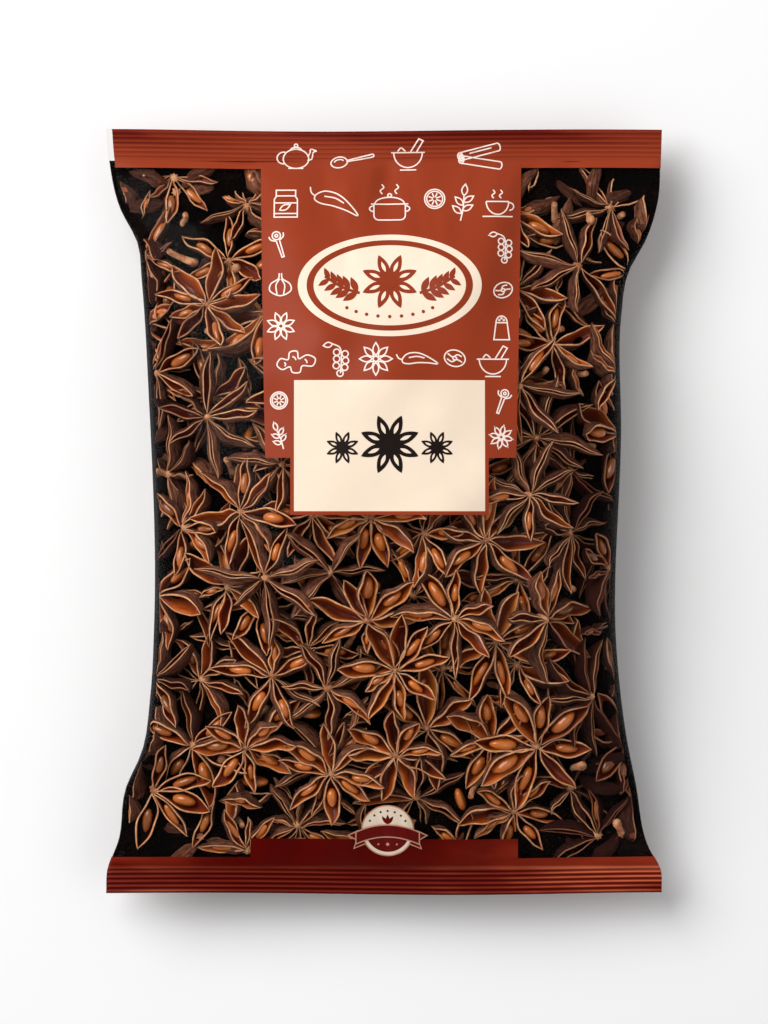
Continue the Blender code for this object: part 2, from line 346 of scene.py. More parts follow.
# Fine creases that fan out of each end seal, and the one that runs down the label from the top seal,
# which is given in the same form as the folds.
CREASES_PER_SEAL = 26
CREASE_SPREAD = 0.95  # of the half width
CREASE_LEAN = 0.5
CREASE_LEAN_SHIFT = 0.3
LEAST_CREASE = 0.3  # of the full depth
CREASE_WIDTH = (0.0009, 0.0020)
CREASE_REACH = (0.0040, 0.0120)
LABEL_CREASE = (1, 0.0006, -0.05, 0.0030, 0.0080, 0.0011)

# Seeds of the folds, the creases and the lumps of each sheet.
FRONT_SEEDS = (12, 41, 31)
BACK_SEEDS = (13, 42, 32)

# Where the print changes. Each slanted side is a line through (Y, X).
LABEL_RIGHT = ((-0.0865, 0.0334), (0.0135, 0.0325), (0.0958, 0.0345))
LABEL_LEFT = ((-0.0865, -0.0334), (0.0135, -0.0292), (0.0958, -0.0310))
LABEL_BOTTOM = 0.0133
TOP_BAND_BOTTOM = 0.0860
BOTTOM_BAND_TOP = -0.0865
BLOCK_TOP = -0.0815  # of the raised middle of the bottom band
PANEL_LEFT = -0.0221
PANEL_RIGHT = 0.0248
PANEL_BOTTOM = 0.0002
PANEL_TOP = 0.0324
PANEL_BORDER = 0.0009
BARE_EDGE = 0.0015  # width of the clear strip at the upper left ear

# Columns between neighbouring print lines, from right to left, and the pitch of the rows.
COLUMNS_BETWEEN_LINES = (28, 8, 1, 46, 1, 8, 26, 2)
ROW_PITCH = 0.0011

CLEAR, RED, DARK_RED, CREAM = range(4)


def seal_lines():
    """Y of the lines where the top and the bottom crimping end and the filled body starts."""
    return LENGTH / 2 - TOP_RIDGES * RIDGE_PITCH, -LENGTH / 2 + BOTTOM_RIDGES * RIDGE_PITCH


def along_body(y):
    """Place along the filled body: 0 halfway between the seal lines, 1 at either of them and beyond."""
    top, bottom = seal_lines()
    return np.clip(np.abs(2 * y - top - bottom) / (top - bottom), 0.0, 1.0)


def middle_line(y):
    """Height of the line where front and back meet. It sinks with the square of the place along the body."""
    top, bottom = seal_lines()
    droop = SEAL_DROOP * (np.maximum(y - top, 0) + np.maximum(bottom - y, 0))
    return MIDDLE_HEIGHT + (SEAL_HEIGHT - MIDDLE_HEIGHT) * along_body(y) ** 2 - droop


def corrugation(y):
    """Rounded waves of the crimping: their height times half of (1 - cosine of the place in the ridge)."""
    top, bottom = seal_lines()
    past = np.maximum(np.maximum(y - top, bottom - y), 0)
    height = bpy.context.scene.anise_film.ridge_height
    return height * (0.5 - 0.5 * np.cos(2 * pi * past / RIDGE_PITCH))


def seal_ripple(x, y):
    """Slow sine wave of the end seals, which dies out inside the filled body."""
    wave = np.sin(x / RIPPLE_LENGTH + np.where(y > 0, *RIPPLE_START))
    return SEAL_RIPPLE * along_body(y) ** RIPPLE_FADE * wave


def edge_wander(x, y):
    """How far each end seal's edge wanders along Y, never past the pack's full length."""
    wave = 0.5 - 0.5 * np.sin(x / EDGE_WAVE_LENGTH + np.where(y > 0, *EDGE_WAVE_START))
    return -np.sign(y) * EDGE_WAVE * along_body(y) ** EDGE_WAVE_FADE * wave


def make_folds(seed):
    """Folds that run from each end seal into the body, as (end, X, lean, width, reach, depth)."""
    draw = random.Random(seed)
    folds = []
    for end in (1, -1):
        for i in range(FOLDS_PER_SEAL):
            spread = (i + 0.5) / FOLDS_PER_SEAL * 2 - 1
            x = SEAL_HALF_WIDTH * (FOLD_SPREAD * spread + draw.uniform(-FOLD_SHIFT, FOLD_SHIFT))
            lean = -FOLD_LEAN * spread + draw.uniform(-LEAN_SHIFT, LEAN_SHIFT)
            width, reach, depth = (draw.uniform(*bounds) for bounds in (FOLD_WIDTH, FOLD_REACH, FOLD_DEPTH))
            folds.append((end, x, lean, width, reach, depth))
    return folds


def make_creases(seed):
    """Fine creases, in the same form as the folds. Some stand out and some are pressed in."""
    draw = random.Random(seed)
    most = bpy.context.scene.anise_film.crease_depth
    creases = []
    for end in (1, -1):
        for _ in range(CREASES_PER_SEAL):
            x = draw.uniform(-CREASE_SPREAD, CREASE_SPREAD) * SEAL_HALF_WIDTH
            shift = draw.uniform(-CREASE_LEAN_SHIFT, CREASE_LEAN_SHIFT)
            depth = draw.uniform(LEAST_CREASE, 1.0) * most * draw.choice((-1, 1))
            width, reach = draw.uniform(*CREASE_WIDTH), draw.uniform(*CREASE_REACH)
            creases.append((end, x, -CREASE_LEAN * x / SEAL_HALF_WIDTH + shift, width, reach, depth))
    return creases


def fold_depth(x, y, folds):
    """How far folds pull the film in, each with t * exp(1 - t) along its reach and a bell across it."""
    top, bottom = seal_lines()
    depth = np.zeros(np.broadcast(x, y).shape)
    for end, start, lean, width, reach, most in folds:
        inside = np.maximum(top - y if end > 0 else y - bottom, 0.0)
        along = inside / reach
        across = (x - start - lean * inside) / (width * (FOLD_START_WIDTH + FOLD_WIDENING * along))
        depth = depth + most * along * np.exp(1 - along) * np.exp(-across * across)
    return depth


def make_lumps(seed):
    """Rounded swellings strewn over one sheet of the bag, as (X, Y, radius, height)."""
    draw = random.Random(seed)
    lumps = []
    for _ in range(LUMPS_PER_SHEET):
        x = draw.uniform(-LUMP_SPREAD, LUMP_SPREAD) * SEAL_HALF_WIDTH
        y = draw.uniform(-LUMP_SPREAD, LUMP_SPREAD) * LENGTH / 2
        lumps.append((x, y, draw.uniform(*LUMP_RADIUS), draw.uniform(*LUMP_HEIGHT)))
    return lumps


def lump_height(x, y, lumps):
    """How far the lumps push the film out: the sum of one bell for each."""
    height = np.zeros(np.broadcast(x, y).shape)
    for lump_x, lump_y, radius, most in lumps:
        height = height + most * np.exp(-((x - lump_x) ** 2 + (y - lump_y) ** 2) / radius**2)
    return height


def half_widths(side, y):
    """Half width at Y on the side that the sign gives, from the left or the right outline."""
    return np.where(side < 0, smooth_through(LEFT_OUTLINE, y), smooth_through(RIGHT_OUTLINE, y))


def sheet_height(x_share, y, rise, fullness, seeds, creases=()):
    """Height of the front above the middle line, or depth of the back below it.

    Along the pack it is (1 - place ** fullness) ** crown power. Across, it is a power of (1 - share ** 2)
    that goes from nearly an ellipse in the middle to a lens with sharp sides by the seals.
    The folds and creases pull it in and the lumps push it out.
    """
    folds = [*make_folds(seeds[0]), *make_creases(seeds[1]), *creases]
    place = along_body(y)
    crown = rise * (1 - place**fullness) ** CROWN_POWER
    lens = SIDE_POWER_MIDDLE + (SIDE_POWER_BY_SEALS - SIDE_POWER_MIDDLE) * place**4
    power = FLAT_POWER + (lens - FLAT_POWER) * smoothstep(0.0, FLAT_BELOW, crown)
    within = np.maximum(1 - x_share**2, 0.0)
    x = x_share * half_widths(x_share, y)
    filled = smoothstep(FILLED_FROM, FILLED_AT, crown)
    relief = filled * lump_height(x, y, make_lumps(seeds[2])) - fold_depth(x, y, folds)
    half_seal = SEAL_THICKNESS / 2 * within**FLAT_POWER
    return np.maximum(crown * within**power + within**0.5 * relief, 0.0) + half_seal


def film_point(x_share, y, height, side):
    """A point of the film: side is 1 on the front and -1 on the back."""
    x = x_share * half_widths(x_share, y)
    z = middle_line(y) + corrugation(y) + seal_ripple(x, y) + side * height
    return np.stack([x, y + edge_wander(x, y), z], -1)


def front_surface(x_share, y):
    """Points of the printed front."""
    height = sheet_height(x_share, y, FRONT_RISE, FRONT_FULLNESS, FRONT_SEEDS, [LABEL_CREASE])
    return film_point(x_share, y, height, 1)


def back_surface(x_share, y):
    """The back, with the fin seam on it, flattened where it lies on the surface at height zero."""
    height = sheet_height(x_share, y, BACK_DROP, BACK_FULLNESS, BACK_SEEDS)
    x = x_share * half_widths(x_share, y)
    on_fin = smoothstep(FIN_LEFT - FIN_FOLD, FIN_LEFT, x) * smoothstep(-FIN_RIGHT - FIN_FOLD, -FIN_RIGHT, -x)
    points = film_point(x_share, y, height + FIN_THICKNESS * on_fin, -1)
    points[..., 2] = np.maximum(points[..., 2], 0.0)
    return points


def film_rows():
    """Y of every row of the film: several to each ridge, and one on each line where the print changes."""
    top, bottom = seal_lines()
    lines = (bottom, BOTTOM_BAND_TOP, BLOCK_TOP, PANEL_BOTTOM - PANEL_BORDER, PANEL_BOTTOM, LABEL_BOTTOM)
    lines += (PANEL_TOP, TOP_BAND_BOTTOM, top)
    rows = [np.linspace(-LENGTH / 2, bottom, BOTTOM_RIDGES * ROWS_PER_RIDGE + 1)[:-1]]
    for low, high in zip(lines, lines[1:]):
        rows.append(np.linspace(low, high, max(round((high - low) / ROW_PITCH), 1) + 1)[:-1])
    rows.append(np.linspace(top, LENGTH / 2, TOP_RIDGES * ROWS_PER_RIDGE + 1))
    return np.concatenate(rows)


def front_columns(y):
    """X of every column of the front in each row, from right to left, with a column on each print line.

    Beside the steep sides the columns stand closer together, as the sine or cosine of an even angle.
    """
    left_edge = -smooth_through(LEFT_OUTLINE, y)
    lines = [
        smooth_through(RIGHT_OUTLINE, y),
        np.interp(y, *zip(*LABEL_RIGHT)),
        *(np.full(len(y), x) for x in (PANEL_RIGHT + PANEL_BORDER, PANEL_RIGHT)),
        *(np.full(len(y), x) for x in (PANEL_LEFT, PANEL_LEFT - PANEL_BORDER)),
        np.interp(y, *zip(*LABEL_LEFT)),
        left_edge + BARE_EDGE,
        left_edge,
    ]
    columns = []
    for i, count in enumerate(COLUMNS_BETWEEN_LINES):
        t = np.arange(count) / count
        if i == 0:
            t = 1 - np.cos(t * pi / 2)
        if i == len(COLUMNS_BETWEEN_LINES) - 2:
            t = np.sin(t * pi / 2)
        columns.append(lines[i][:, None] + (lines[i + 1] - lines[i])[:, None] * t)
    return np.concatenate([*columns, left_edge[:, None]], axis=1)


def back_columns(y, count):
    """X of every column of the back in each row, from right to left, with columns on the fin's steps."""
    right_edge = smooth_through(RIGHT_OUTLINE, y)[:, None]
    left_edge = -smooth_through(LEFT_OUTLINE, y)[:, None]
    fin = np.linspace(FIN_RIGHT, FIN_LEFT, FIN_COLUMNS)
    fin = np.concatenate([[FIN_RIGHT + FIN_FOLD], fin, [FIN_LEFT - FIN_FOLD]])[None]
    beside = count + 1 - fin.shape[1]
    to_right, to_left = beside // 2, beside - beside // 2
    right_steps = 1 - np.cos(np.arange(to_right) / to_right * pi / 2)
    left_steps = np.sin(np.arange(1, to_left + 1) / to_left * pi / 2)
    right = right_edge + (fin[:, :1] - right_edge) * right_steps
    left = fin[:, -1:] + (left_edge - fin[:, -1:]) * left_steps
    return np.concatenate([right, np.repeat(fin, len(y), axis=0), left], axis=1)


def film_slots(y, columns, front):
    """Material number of each face between neighbouring rows and columns of one sheet."""
    middle = ((y[1:] + y[:-1]) / 2)[:, None]
    x = (columns[1:] + columns[:-1]) / 2
    x = (x[:, 1:] + x[:, :-1]) / 2
    slots = np.full(x.shape, CLEAR)
    slots[(middle > TOP_BAND_BOTTOM) & (x > BARE_EDGE - smooth_through(LEFT_OUTLINE, middle))] = RED
    slots[np.broadcast_to(middle < BOTTOM_BAND_TOP, x.shape)] = DARK_RED
    if front:
        right, left = (np.interp(middle, *zip(*side)) for side in (LABEL_RIGHT, LABEL_LEFT))
        on_label = (x < right) & (x > left)
        slots[on_label & (middle > LABEL_BOTTOM)] = RED
        slots[on_label & (middle < BLOCK_TOP)] = DARK_RED
        on_border = (x < PANEL_RIGHT + PANEL_BORDER) & (x > PANEL_LEFT - PANEL_BORDER)
        slots[on_border & (middle > PANEL_BOTTOM - PANEL_BORDER) & (middle < PANEL_TOP)] = RED
        on_panel = (x < PANEL_RIGHT) & (x > PANEL_LEFT)
        slots[on_panel & (middle > PANEL_BOTTOM) & (middle < PANEL_TOP)] = CREAM
    return slots


def film_shape():
    """The whole tube: front and back as two grids that share their side columns, closed at both ends."""
    y = film_rows()
    front_x = front_columns(y)
    back_x = back_columns(y, front_x.shape[1] - 1)
    row_y = y[:, None] + 0 * front_x
    front = front_surface(front_x / half_widths(front_x, row_y), row_y)
    back = back_surface(back_x / half_widths(back_x, row_y), row_y)
    rows, columns = front_x.shape
    front_corner = numbered(rows, columns)
    inner_corner = numbered(rows, columns - 2, start=rows * columns)
    back_corner = np.concatenate([front_corner[:, :1], inner_corner, front_corner[:, -1:]], axis=1)

    def cap(row, turned):
        """Closes one end: quads between the two sheets, and a triangle at each side."""
        over, under = front_corner[row], back_corner[row]
        around = [over[1:-2], over[2:-1], under[2:-1], under[1:-2]]
        middle = np.stack(around[::turned], -1)
        sides = np.array([(over[0], over[1], under[1]), (over[-2], over[-1], under[-2])])
        return [middle, sides[:, ::turned]]

    front_faces = quads(front_corner)[:, [0, 3, 2, 1]]
    back_faces = np.roll(quads(back_corner), -1, axis=1)
    faces = [front_faces, back_faces, *cap(0, -1), *cap(rows - 1, 1)]
    slots = [film_slots(y, front_x, True).ravel(), film_slots(y, back_x, False).ravel()]
    slots += [DARK_RED, DARK_RED, RED, RED]
    points = np.concatenate([front.reshape(-1, 3), back[:, 1:-1].reshape(-1, 3)])
    crest = np.where(along_body(y) < 1, 1.0, corrugation(y) / np.max(corrugation(y)))
    tones = np.concatenate([np.repeat(crest, columns), np.repeat(crest, columns - 2)])
    shape = Shape()
    shape.add(points, faces, slots, points[:, :2] / LENGTH + 0.5, tones)
    return shape


def on_film(across, lift):
    """Points that lie on the front film at the given X and Y, raised by the lift."""
    x, y = across[..., 0], across[..., 1]
    points = front_surface(x / half_widths(x, y), y)
    points[..., 2] += lift
    return points


# ---- The print ----

# Heights of the printed layers above the film. Strokes of one drawing take turns within a layer.
FIELD_LIFT = 0.06 * MM
RING_LIFT = 0.10 * MM
MARK_LIFT = 0.14 * MM
BADGE_LIFTS = {"middle": 0.15 * MM, "dome": 0.19 * MM, "marks": 0.22 * MM, "ribbon": 0.27 * MM}
HAIR = 0.04 * MM  # between a field of the ribbon and its edge
TURN_LIFT = 0.006 * MM
TURNS = 5

# All other sizes of the print are in millimetres.
STROKE_STEP = 0.35  # between the points of a stroke
STEPS_PER_STRETCH = 8
NARROWEST_MITRE = 0.55
OVAL_CENTRE = (1.4, 56.0)
OVAL_FIELD = (22.7, 12.8)
OVAL_RING = ((20.5, 11.4), (18.8, 10.1))
OVAL_DOTS = (15.2, 7.9)
PANEL_CENTRE = (1.4, 16.6)
BADGE_CENTRE = (0.9, -79.3)
BADGE_RADIUS = 6.6
PLACE_UNIT = 100  # of the print's own map

LINE_INK, RED_INK, CREAM_INK, DARK_INK, BADGE_INK, EDGE_INK = range(6)
EIGHTHS = [pi / 8 + i * pi / 4 for i in range(8)]  # the directions round a star


def line(*corners):
    """Straight lines through the corners, one after another, given as their X and Y in turn."""
    corners = np.array(corners, float).reshape(-1, 2)
    steps = np.ceil(np.hypot(*np.diff(corners, axis=0).T) / STROKE_STEP).astype(int) + 1
    place = np.concatenate([[0.0], np.cumsum(steps)])
    at = np.arange(place[-1] + 1)
    return np.stack([np.interp(at, place, corners[:, 0]), np.interp(at, place, corners[:, 1])], -1)


def arc(x, y, wide, high=None, start=0, end=360):
    """Part of an ellipse about (x, y), from one angle to the other, in degrees."""
    high = wide if high is None else high
    count = max(int(radians(abs(end - start)) * max(wide, high) / STROKE_STEP), 6)
    return polar(x, y, wide, high, np.radians(np.linspace(start, end, count + 1)))


def curve(*through, closed=False):
    """A smooth curve through the points: each stretch is a cubic whose slopes join its neighbours."""
    points = np.array(through, float).reshape(-1, 2)
    if closed:
        points = np.concatenate([points[-1:], points, points[:2]])
    else:
        points = np.concatenate([2 * points[:1] - points[1:2], points, 2 * points[-1:] - points[-2:-1]])
    t = np.linspace(0, 1, STEPS_PER_STRETCH + 1)[:-1, None, None]
    before, start, end, after = points[:-3], points[1:-2], points[2:-1], points[3:]
    bend = 2 * before - 5 * start + 4 * end - after
    twist = 3 * (start - end) + after - before
    stretches = start + 0.5 * t * (end - before + t * (bend + t * twist))
    return np.concatenate([stretches.transpose(1, 0, 2).reshape(-1, 2), points[-2:-1]])


def moved(strokes, x, y, angle=0.0, size=1.0):
    """The strokes scaled, turned by the angle in degrees, and moved to (x, y)."""
    turn = radians(angle)
    matrix = size * np.array([[cos(turn), sin(turn)], [-sin(turn), cos(turn)]])
    return [stroke @ matrix + (x, y) for stroke in strokes]


def leaf(x, y, angle, length, width):
    """Outline of a pointed leaf that starts at (x, y). Its half width is the sine of the place ** 0.9."""
    along = np.linspace(0, 1, 13)
    half = width / 2 * np.sin(pi * along**0.9)
    sides = [np.stack([along * length, side * half], -1) for side in (1, -1)]
    return moved([np.concatenate([sides[0], sides[1][::-1]])], x, y, angle)[0]


def mirrored(strokes):
    """The strokes, each followed by its mirror image about X = 0."""
    return [stroke * (side, 1) for stroke in strokes for side in (1, -1)]


def spoke(angle, start, end):
    """A straight line out from the middle, between two distances from it."""
    return line(*((reach * cos(angle), reach * sin(angle)) for reach in (start, end)))


STICK = [
    line(-4.6, -0.9, 4.2, -0.9),
    line(-4.6, 0.9, 4.2, 0.9),
    arc(4.2, 0, 0.5, 0.9, -90, 90),
    arc(-4.6, 0, 0.6, 0.9),
    arc(-4.6, 0, 0.25, 0.45),
    line(-2.4, 0.2, 2.8, 0.2),
]
DRAWINGS = {
    "star": [
        *(leaf(0.9 * cos(a), 0.9 * sin(a), degrees(a), 3.3, 1.5) for a in EIGHTHS),
        arc(0, 0, 0.7),
    ],
    "bark rolls": moved(STICK, 0, 1.0, 14) + moved(STICK[:5], 0.3, -1.6, -10),
    "chilli": [
        curve(-3.2, 1.6, -1.6, 2.2, 0.6, 1.6, 2.6, -0.1, 4.4, -2.6, 2.2, -1.6, -0.2, -0.7, -2.4, -0.2,
              -3.6, 0.6, closed=True),
        curve(-3.4, 1.2, -4.2, 1.9, -4.4, 3.0), curve(-1.8, 1.2, 0.2, 0.8, 1.8, -0.2),
    ],
    "mortar": [
        arc(0, 0.8, 3.3, 3.6, 180, 360), line(-3.9, 0.8, 3.9, 0.8), line(-1.9, -3.4, 1.9, -3.4),
        line(0.6, 1.0, 2.5, 4.0, 3.5, 3.5, 2.0, 1.0), curve(-2.4, 1.1, -1.6, 1.9, -0.6, 1.1),
    ],
    "pot": [
        line(-3.2, 0.6, -3.2, -1.8), line(3.2, 0.6, 3.2, -1.8), arc(-2.2, -1.8, 1.0, 1.0, 180, 270),
        arc(2.2, -1.8, 1.0, 1.0, 270, 360), line(-2.2, -2.8, 2.2, -2.8), line(-3.8, 0.6, 3.8, 0.6),
        arc(0, 0.6, 3.0, 1.5, 0, 180), arc(0, 2.5, 0.4), arc(-3.2, -0.4, 0.9, 0.6, 90, 270),
        arc(3.2, -0.4, 0.9, 0.6, -90, 90), curve(-1.5, 2.8, -1.9, 3.5, -1.2, 4.2, -1.6, 4.9),
        curve(1.5, 2.8, 1.1, 3.5, 1.8, 4.2, 1.4, 4.9),
    ],
    "clove": [
        line(-0.45, 1.0, -0.3, -3.6, 0.3, -3.6, 0.45, 1.0),
        *mirrored([curve(-0.5, 1.0, -1.7, 1.7, -2.0, 2.7)]), arc(0, 2.4, 1.1), arc(0, 2.4, 0.4),
    ],
    "bulb": [
        curve(-0.3, 3.4, -0.6, 1.8, -2.6, 0.4, -2.8, -1.6, 0, -2.9, 2.8, -1.6, 2.6, 0.4, 0.6, 1.8, 0.3,
              3.4),
        *mirrored([curve(-0.2, 1.8, -1.2, 0.0, -0.9, -2.5)]),
    ],
    "sprig": [
        curve(0, -3.8, 0.2, -1.0, 0, 1.8), leaf(-0.05, -2.2, 145, 2.4, 1.1), leaf(0.1, -1.5, 35, 2.4, 1.1),
        leaf(0.1, -0.4, 140, 2.4, 1.1), leaf(0.15, 0.3, 40, 2.4, 1.1), leaf(0, 1.7, 90, 2.5, 1.2),
    ],
    "spoon": [
        arc(-3.2, 0, 1.8, 1.25), line(-1.4, 0.15, 4.2, 0.32), line(-1.4, -0.15, 4.2, -0.32),
        arc(4.2, 0, 0.3, 0.32, -90, 90), arc(-3.2, 0.2, 1.0, 0.5, 0, 180),
    ],
    "citrus slice": [arc(0, 0, 2.9), arc(0, 0, 2.3), *(spoke(a, 0.5, 1.9) for a in EIGHTHS)],
    "peppercorns": [
        curve(-1.6, 3.6, 0.2, 2.6, 0.5, 0.0, 0.3, -3.4),
        *(arc(x, y, 0.75) for x, y in ((-0.6, 1.6), (1.4, 1.2), (-0.6, 0.0), (1.5, -0.4))),
        *(arc(x, y, 0.75) for x, y in ((-0.7, -1.6), (1.3, -2.0), (0.2, -3.4))),
        leaf(-1.6, 3.5, 190, 2.2, 1.2),
    ],
    "nut": [
        arc(0, 0, 2.6, 2.0), curve(-2.0, 0.7, -0.6, 0.2, 0.4, 1.0, 1.6, 0.8),
        curve(-1.8, -0.6, -0.5, -1.0, 0.6, -0.2, 2.0, -0.5), arc(0, 0, 0.5, 0.4),
    ],
    "cup": [
        arc(0, 0.8, 2.7, 3.2, 180, 360), line(-2.7, 0.8, 2.7, 0.8), arc(2.6, -0.4, 1.3, 1.0, -80, 90),
        line(-3.6, -2.9, 3.6, -2.9), curve(-0.9, 1.6, -1.3, 2.3, -0.6, 3.0, -1.0, 3.7),
        curve(0.9, 1.6, 0.5, 2.3, 1.2, 3.0, 0.8, 3.7),
    ],
    "jar": [
        line(-2.0, 1.6, -2.5, 0.8, -2.5, -3.2, 2.5, -3.2, 2.5, 0.8, 2.0, 1.6),
        line(-2.1, 1.6, 2.1, 1.6, 2.1, 2.9, -2.1, 2.9, -2.1, 1.6), line(-2.5, 0.0, 2.5, 0.0),
        line(-2.5, -2.4, 2.5, -2.4), leaf(-1.3, -1.6, 28, 2.6, 1.1),
    ],
    "shaker": [
        line(-1.5, 1.4, -2.1, -3.2, 2.1, -3.2, 1.5, 1.4), line(-1.7, 1.4, 1.7, 1.4),
        arc(0, 1.4, 1.5, 1.8, 0, 180), *(arc(x, y, 0.15) for x, y in ((-0.6, 2.1), (0.6, 2.1), (0, 2.6))),
    ],
    "teapot": [
        arc(0, -0.6, 2.9, 2.3), curve(2.6, -0.9, 3.6, -0.5, 3.9, 0.9, 4.7, 1.3),
        curve(2.8, 0.2, 3.2, 0.9, 3.4, 1.7, 4.7, 1.3), arc(-2.8, -0.4, 1.5, 1.4, 75, 285),
        arc(0, 1.4, 1.3, 0.7, 0, 180), arc(0, 2.5, 0.4), line(-1.7, -2.9, 1.7, -2.9),
    ],
    "root": [
        curve(-4.2, -0.6, -3.4, 0.8, -1.8, 0.6, -1.4, 2.2, 0.2, 2.4, 0.6, 0.8, 2.4, 1.6, 4.2, 0.8, 3.6,
              -0.8, 1.4, -0.8, 0.8, -2.2, -0.8, -2.2, -1.4, -1.0, -3.0, -1.6, closed=True),
        curve(-2.6, 0.0, -2.3, -0.4, -2.5, -0.9), curve(-0.8, 1.3, -0.3, 1.0, 0.0, 0.5),
        curve(1.9, 0.7, 2.3, 0.3, 2.4, -0.2),
    ],
}  # fmt: skip

# Where each small drawing lies on the label, with its turn and size.
LABEL_DRAWINGS = (
    ("teapot", -22.0, 89.4, 0, 1.10),
    ("spoon", -7.6, 88.6, 12, 1.15),
    ("mortar", 6.0, 89.4, 0, 1.08),
    ("bark rolls", 24.0, 89.2, 0, 1.10),
    ("jar", -24.4, 77.0, 0, 1.15),
    ("chilli", -12.4, 77.2, 0, 1.35),
    ("pot", 1.4, 76.0, 0, 1.22),
    ("citrus slice", 12.6, 78.0, 0, 0.86),
    ("sprig", 19.6, 76.8, -8, 1.20),
    ("cup", 28.2, 76.4, 0, 1.04),
    ("clove", -26.0, 66.4, 18, 0.94),
    ("peppercorns", 29.6, 65.6, 0, 0.96),
    ("star", -25.4, 45.8, 0, 0.84),
    ("nut", 29.4, 54.8, 24, 0.92),
    ("bulb", -25.6, 56.0, 0, 0.90),
    ("shaker", 29.0, 45.4, 0, 0.92),
    ("root", -21.6, 36.8, 0, 1.12),
    ("peppercorns", -11.0, 37.6, 0, 1.04),
    ("star", -2.0, 37.6, 22.5, 0.96),
    ("chilli", 8.2, 37.4, 20, 1.00),
    ("nut", 17.4, 37.8, -15, 1.00),
    ("mortar", 26.8, 36.8, 0, 1.02),
    ("citrus slice", -25.8, 27.4, 0, 0.72),
    ("clove", 29.0, 27.2, -20, 0.86),
    ("sprig", -25.8, 18.6, 20, 0.88),
    ("star", 28.8, 18.4, 10, 0.70),
)


def facing_up(flat, faces):
    """The faces, each with its corners anticlockwise: where the first three aren't, it is reversed."""
    first, second, third = (flat[faces[:, i]] for i in (0, 1, 2))
    turn = np.cross(second - first, third - first)
    return np.where((turn < 0)[:, None], faces[:, ::-1], faces)


class Print:
    """Gathers printed marks that lie on the film, in inks, each a hair above what it covers."""

    def __init__(self):
        self.shape = Shape()
        self.turn = 0

    def lay(self, flat, faces, ink, lift):
        """Lays a flat mark, given in millimetres, on the film."""
        self.turn = (self.turn + 1) % TURNS
        flat = flat.reshape(-1, 2)
        points = on_film(flat * MM, lift + self.turn * TURN_LIFT)
        self.shape.add(points, [facing_up(flat, corners) for corners in faces], ink, places=flat / PLACE_UNIT)

    def stroke(self, path, width, ink, lift):
        """A line of even width: the path's points moved to both sides along its mitred normals."""
        path = path[np.concatenate([[True], np.hypot(*np.diff(path, axis=0).T) > 1e-4])]
        closed = np.allclose(path[0], path[-1], atol=1e-3)
        step = np.diff(path, axis=0)
        step = step / np.hypot(*step.T)[:, None]
        before = np.concatenate([step[-1:] if closed else step[:1], step])
        after = np.concatenate([step, step[:1] if closed else step[-1:]])
        along = before + after
        along = along / np.maximum(np.hypot(*along.T)[:, None], 1e-6)
        mitre = 1 / np.maximum((along * before).sum(-1), NARROWEST_MITRE)
        side = np.stack([-along[:, 1], along[:, 0]], -1) * (width / 2 * mitre)[:, None]
        flat = np.stack([path + side, path - side], axis=1)
        self.lay(flat, [quads(numbered(len(path), 2))[:, ::-1]], ink, lift)

    def disc(self, x, y, size, ink, lift, rings=10, around=72):
        """A filled ellipse, with its two half widths: rings of points, and a fan round its centre."""
        share = np.arange(1, rings + 1)[:, None] / rings
        flat = polar(x, y, size[0] * share, size[-1] * share, np.arange(around) * 2 * pi / around)
        corner = np.arange(around)
        fan = np.stack([np.full(around, rings * around), corner, np.roll(corner, -1)], -1)
        flat = np.concatenate([flat.reshape(-1, 2), [(x, y)]])
        self.lay(flat, [wrapped(rings, around)[:, ::-1], fan], ink, lift)

    def blade(self, x, y, angle, length, width, ink, lift, blunt=1.0):
        """A filled leaf: its half width goes with the sine of the place ** 0.9, to the given power."""
        along = np.linspace(0.02, 1, 15)[:, None]
        across = np.linspace(-1, 1, 5)
        half = width / 2 * np.sin(pi * np.minimum(along, 0.999) ** 0.9) ** blunt
        flat = np.stack([along * length + 0 * across, half * across], -1)
        self.lay(moved([flat.reshape(-1, 2)], x, y, angle)[0], [quads(numbered(15, 5))], ink, lift)

    def field(self, upper, lower, ink, lift, rows=7):
        """A filled band between two paths of as many points."""
        share = np.linspace(0, 1, rows)[:, None, None]
        flat = upper + (lower - upper) * share
        self.lay(flat, [quads(numbered(rows, len(upper)))[:, ::-1]], ink, lift)

    def star(self, x, y, radius, ink, paper, lift):
        """A filled star anise: eight pods round a small disc, each with a seed-shaped opening."""
        start, opening = 0.10 * radius, 0.36 * radius
        for direction in EIGHTHS:
            angle = degrees(direction)
            along = np.array([cos(direction), sin(direction)])
            self.blade(*((x, y) + start * along), angle, radius - start, 0.36 * radius, ink, lift, blunt=0.8)
            place = (x, y) + opening * along
            self.blade(*place, angle, 0.40 * radius, 0.12 * radius, paper, lift + 0.06 * MM)
        self.disc(x, y, (0.24 * radius,), ink, lift + 0.05 * MM, rings=3, around=24)

    def dots(self, x, y, reach, angles, size, ink, lift, around):
        """A row of dots along an ellipse, at the given angles in degrees."""
        for angle in map(radians, angles):
            place = (x + reach[0] * cos(angle), y + reach[-1] * sin(angle))
            self.disc(*place, (size,), ink, lift, 2, around)


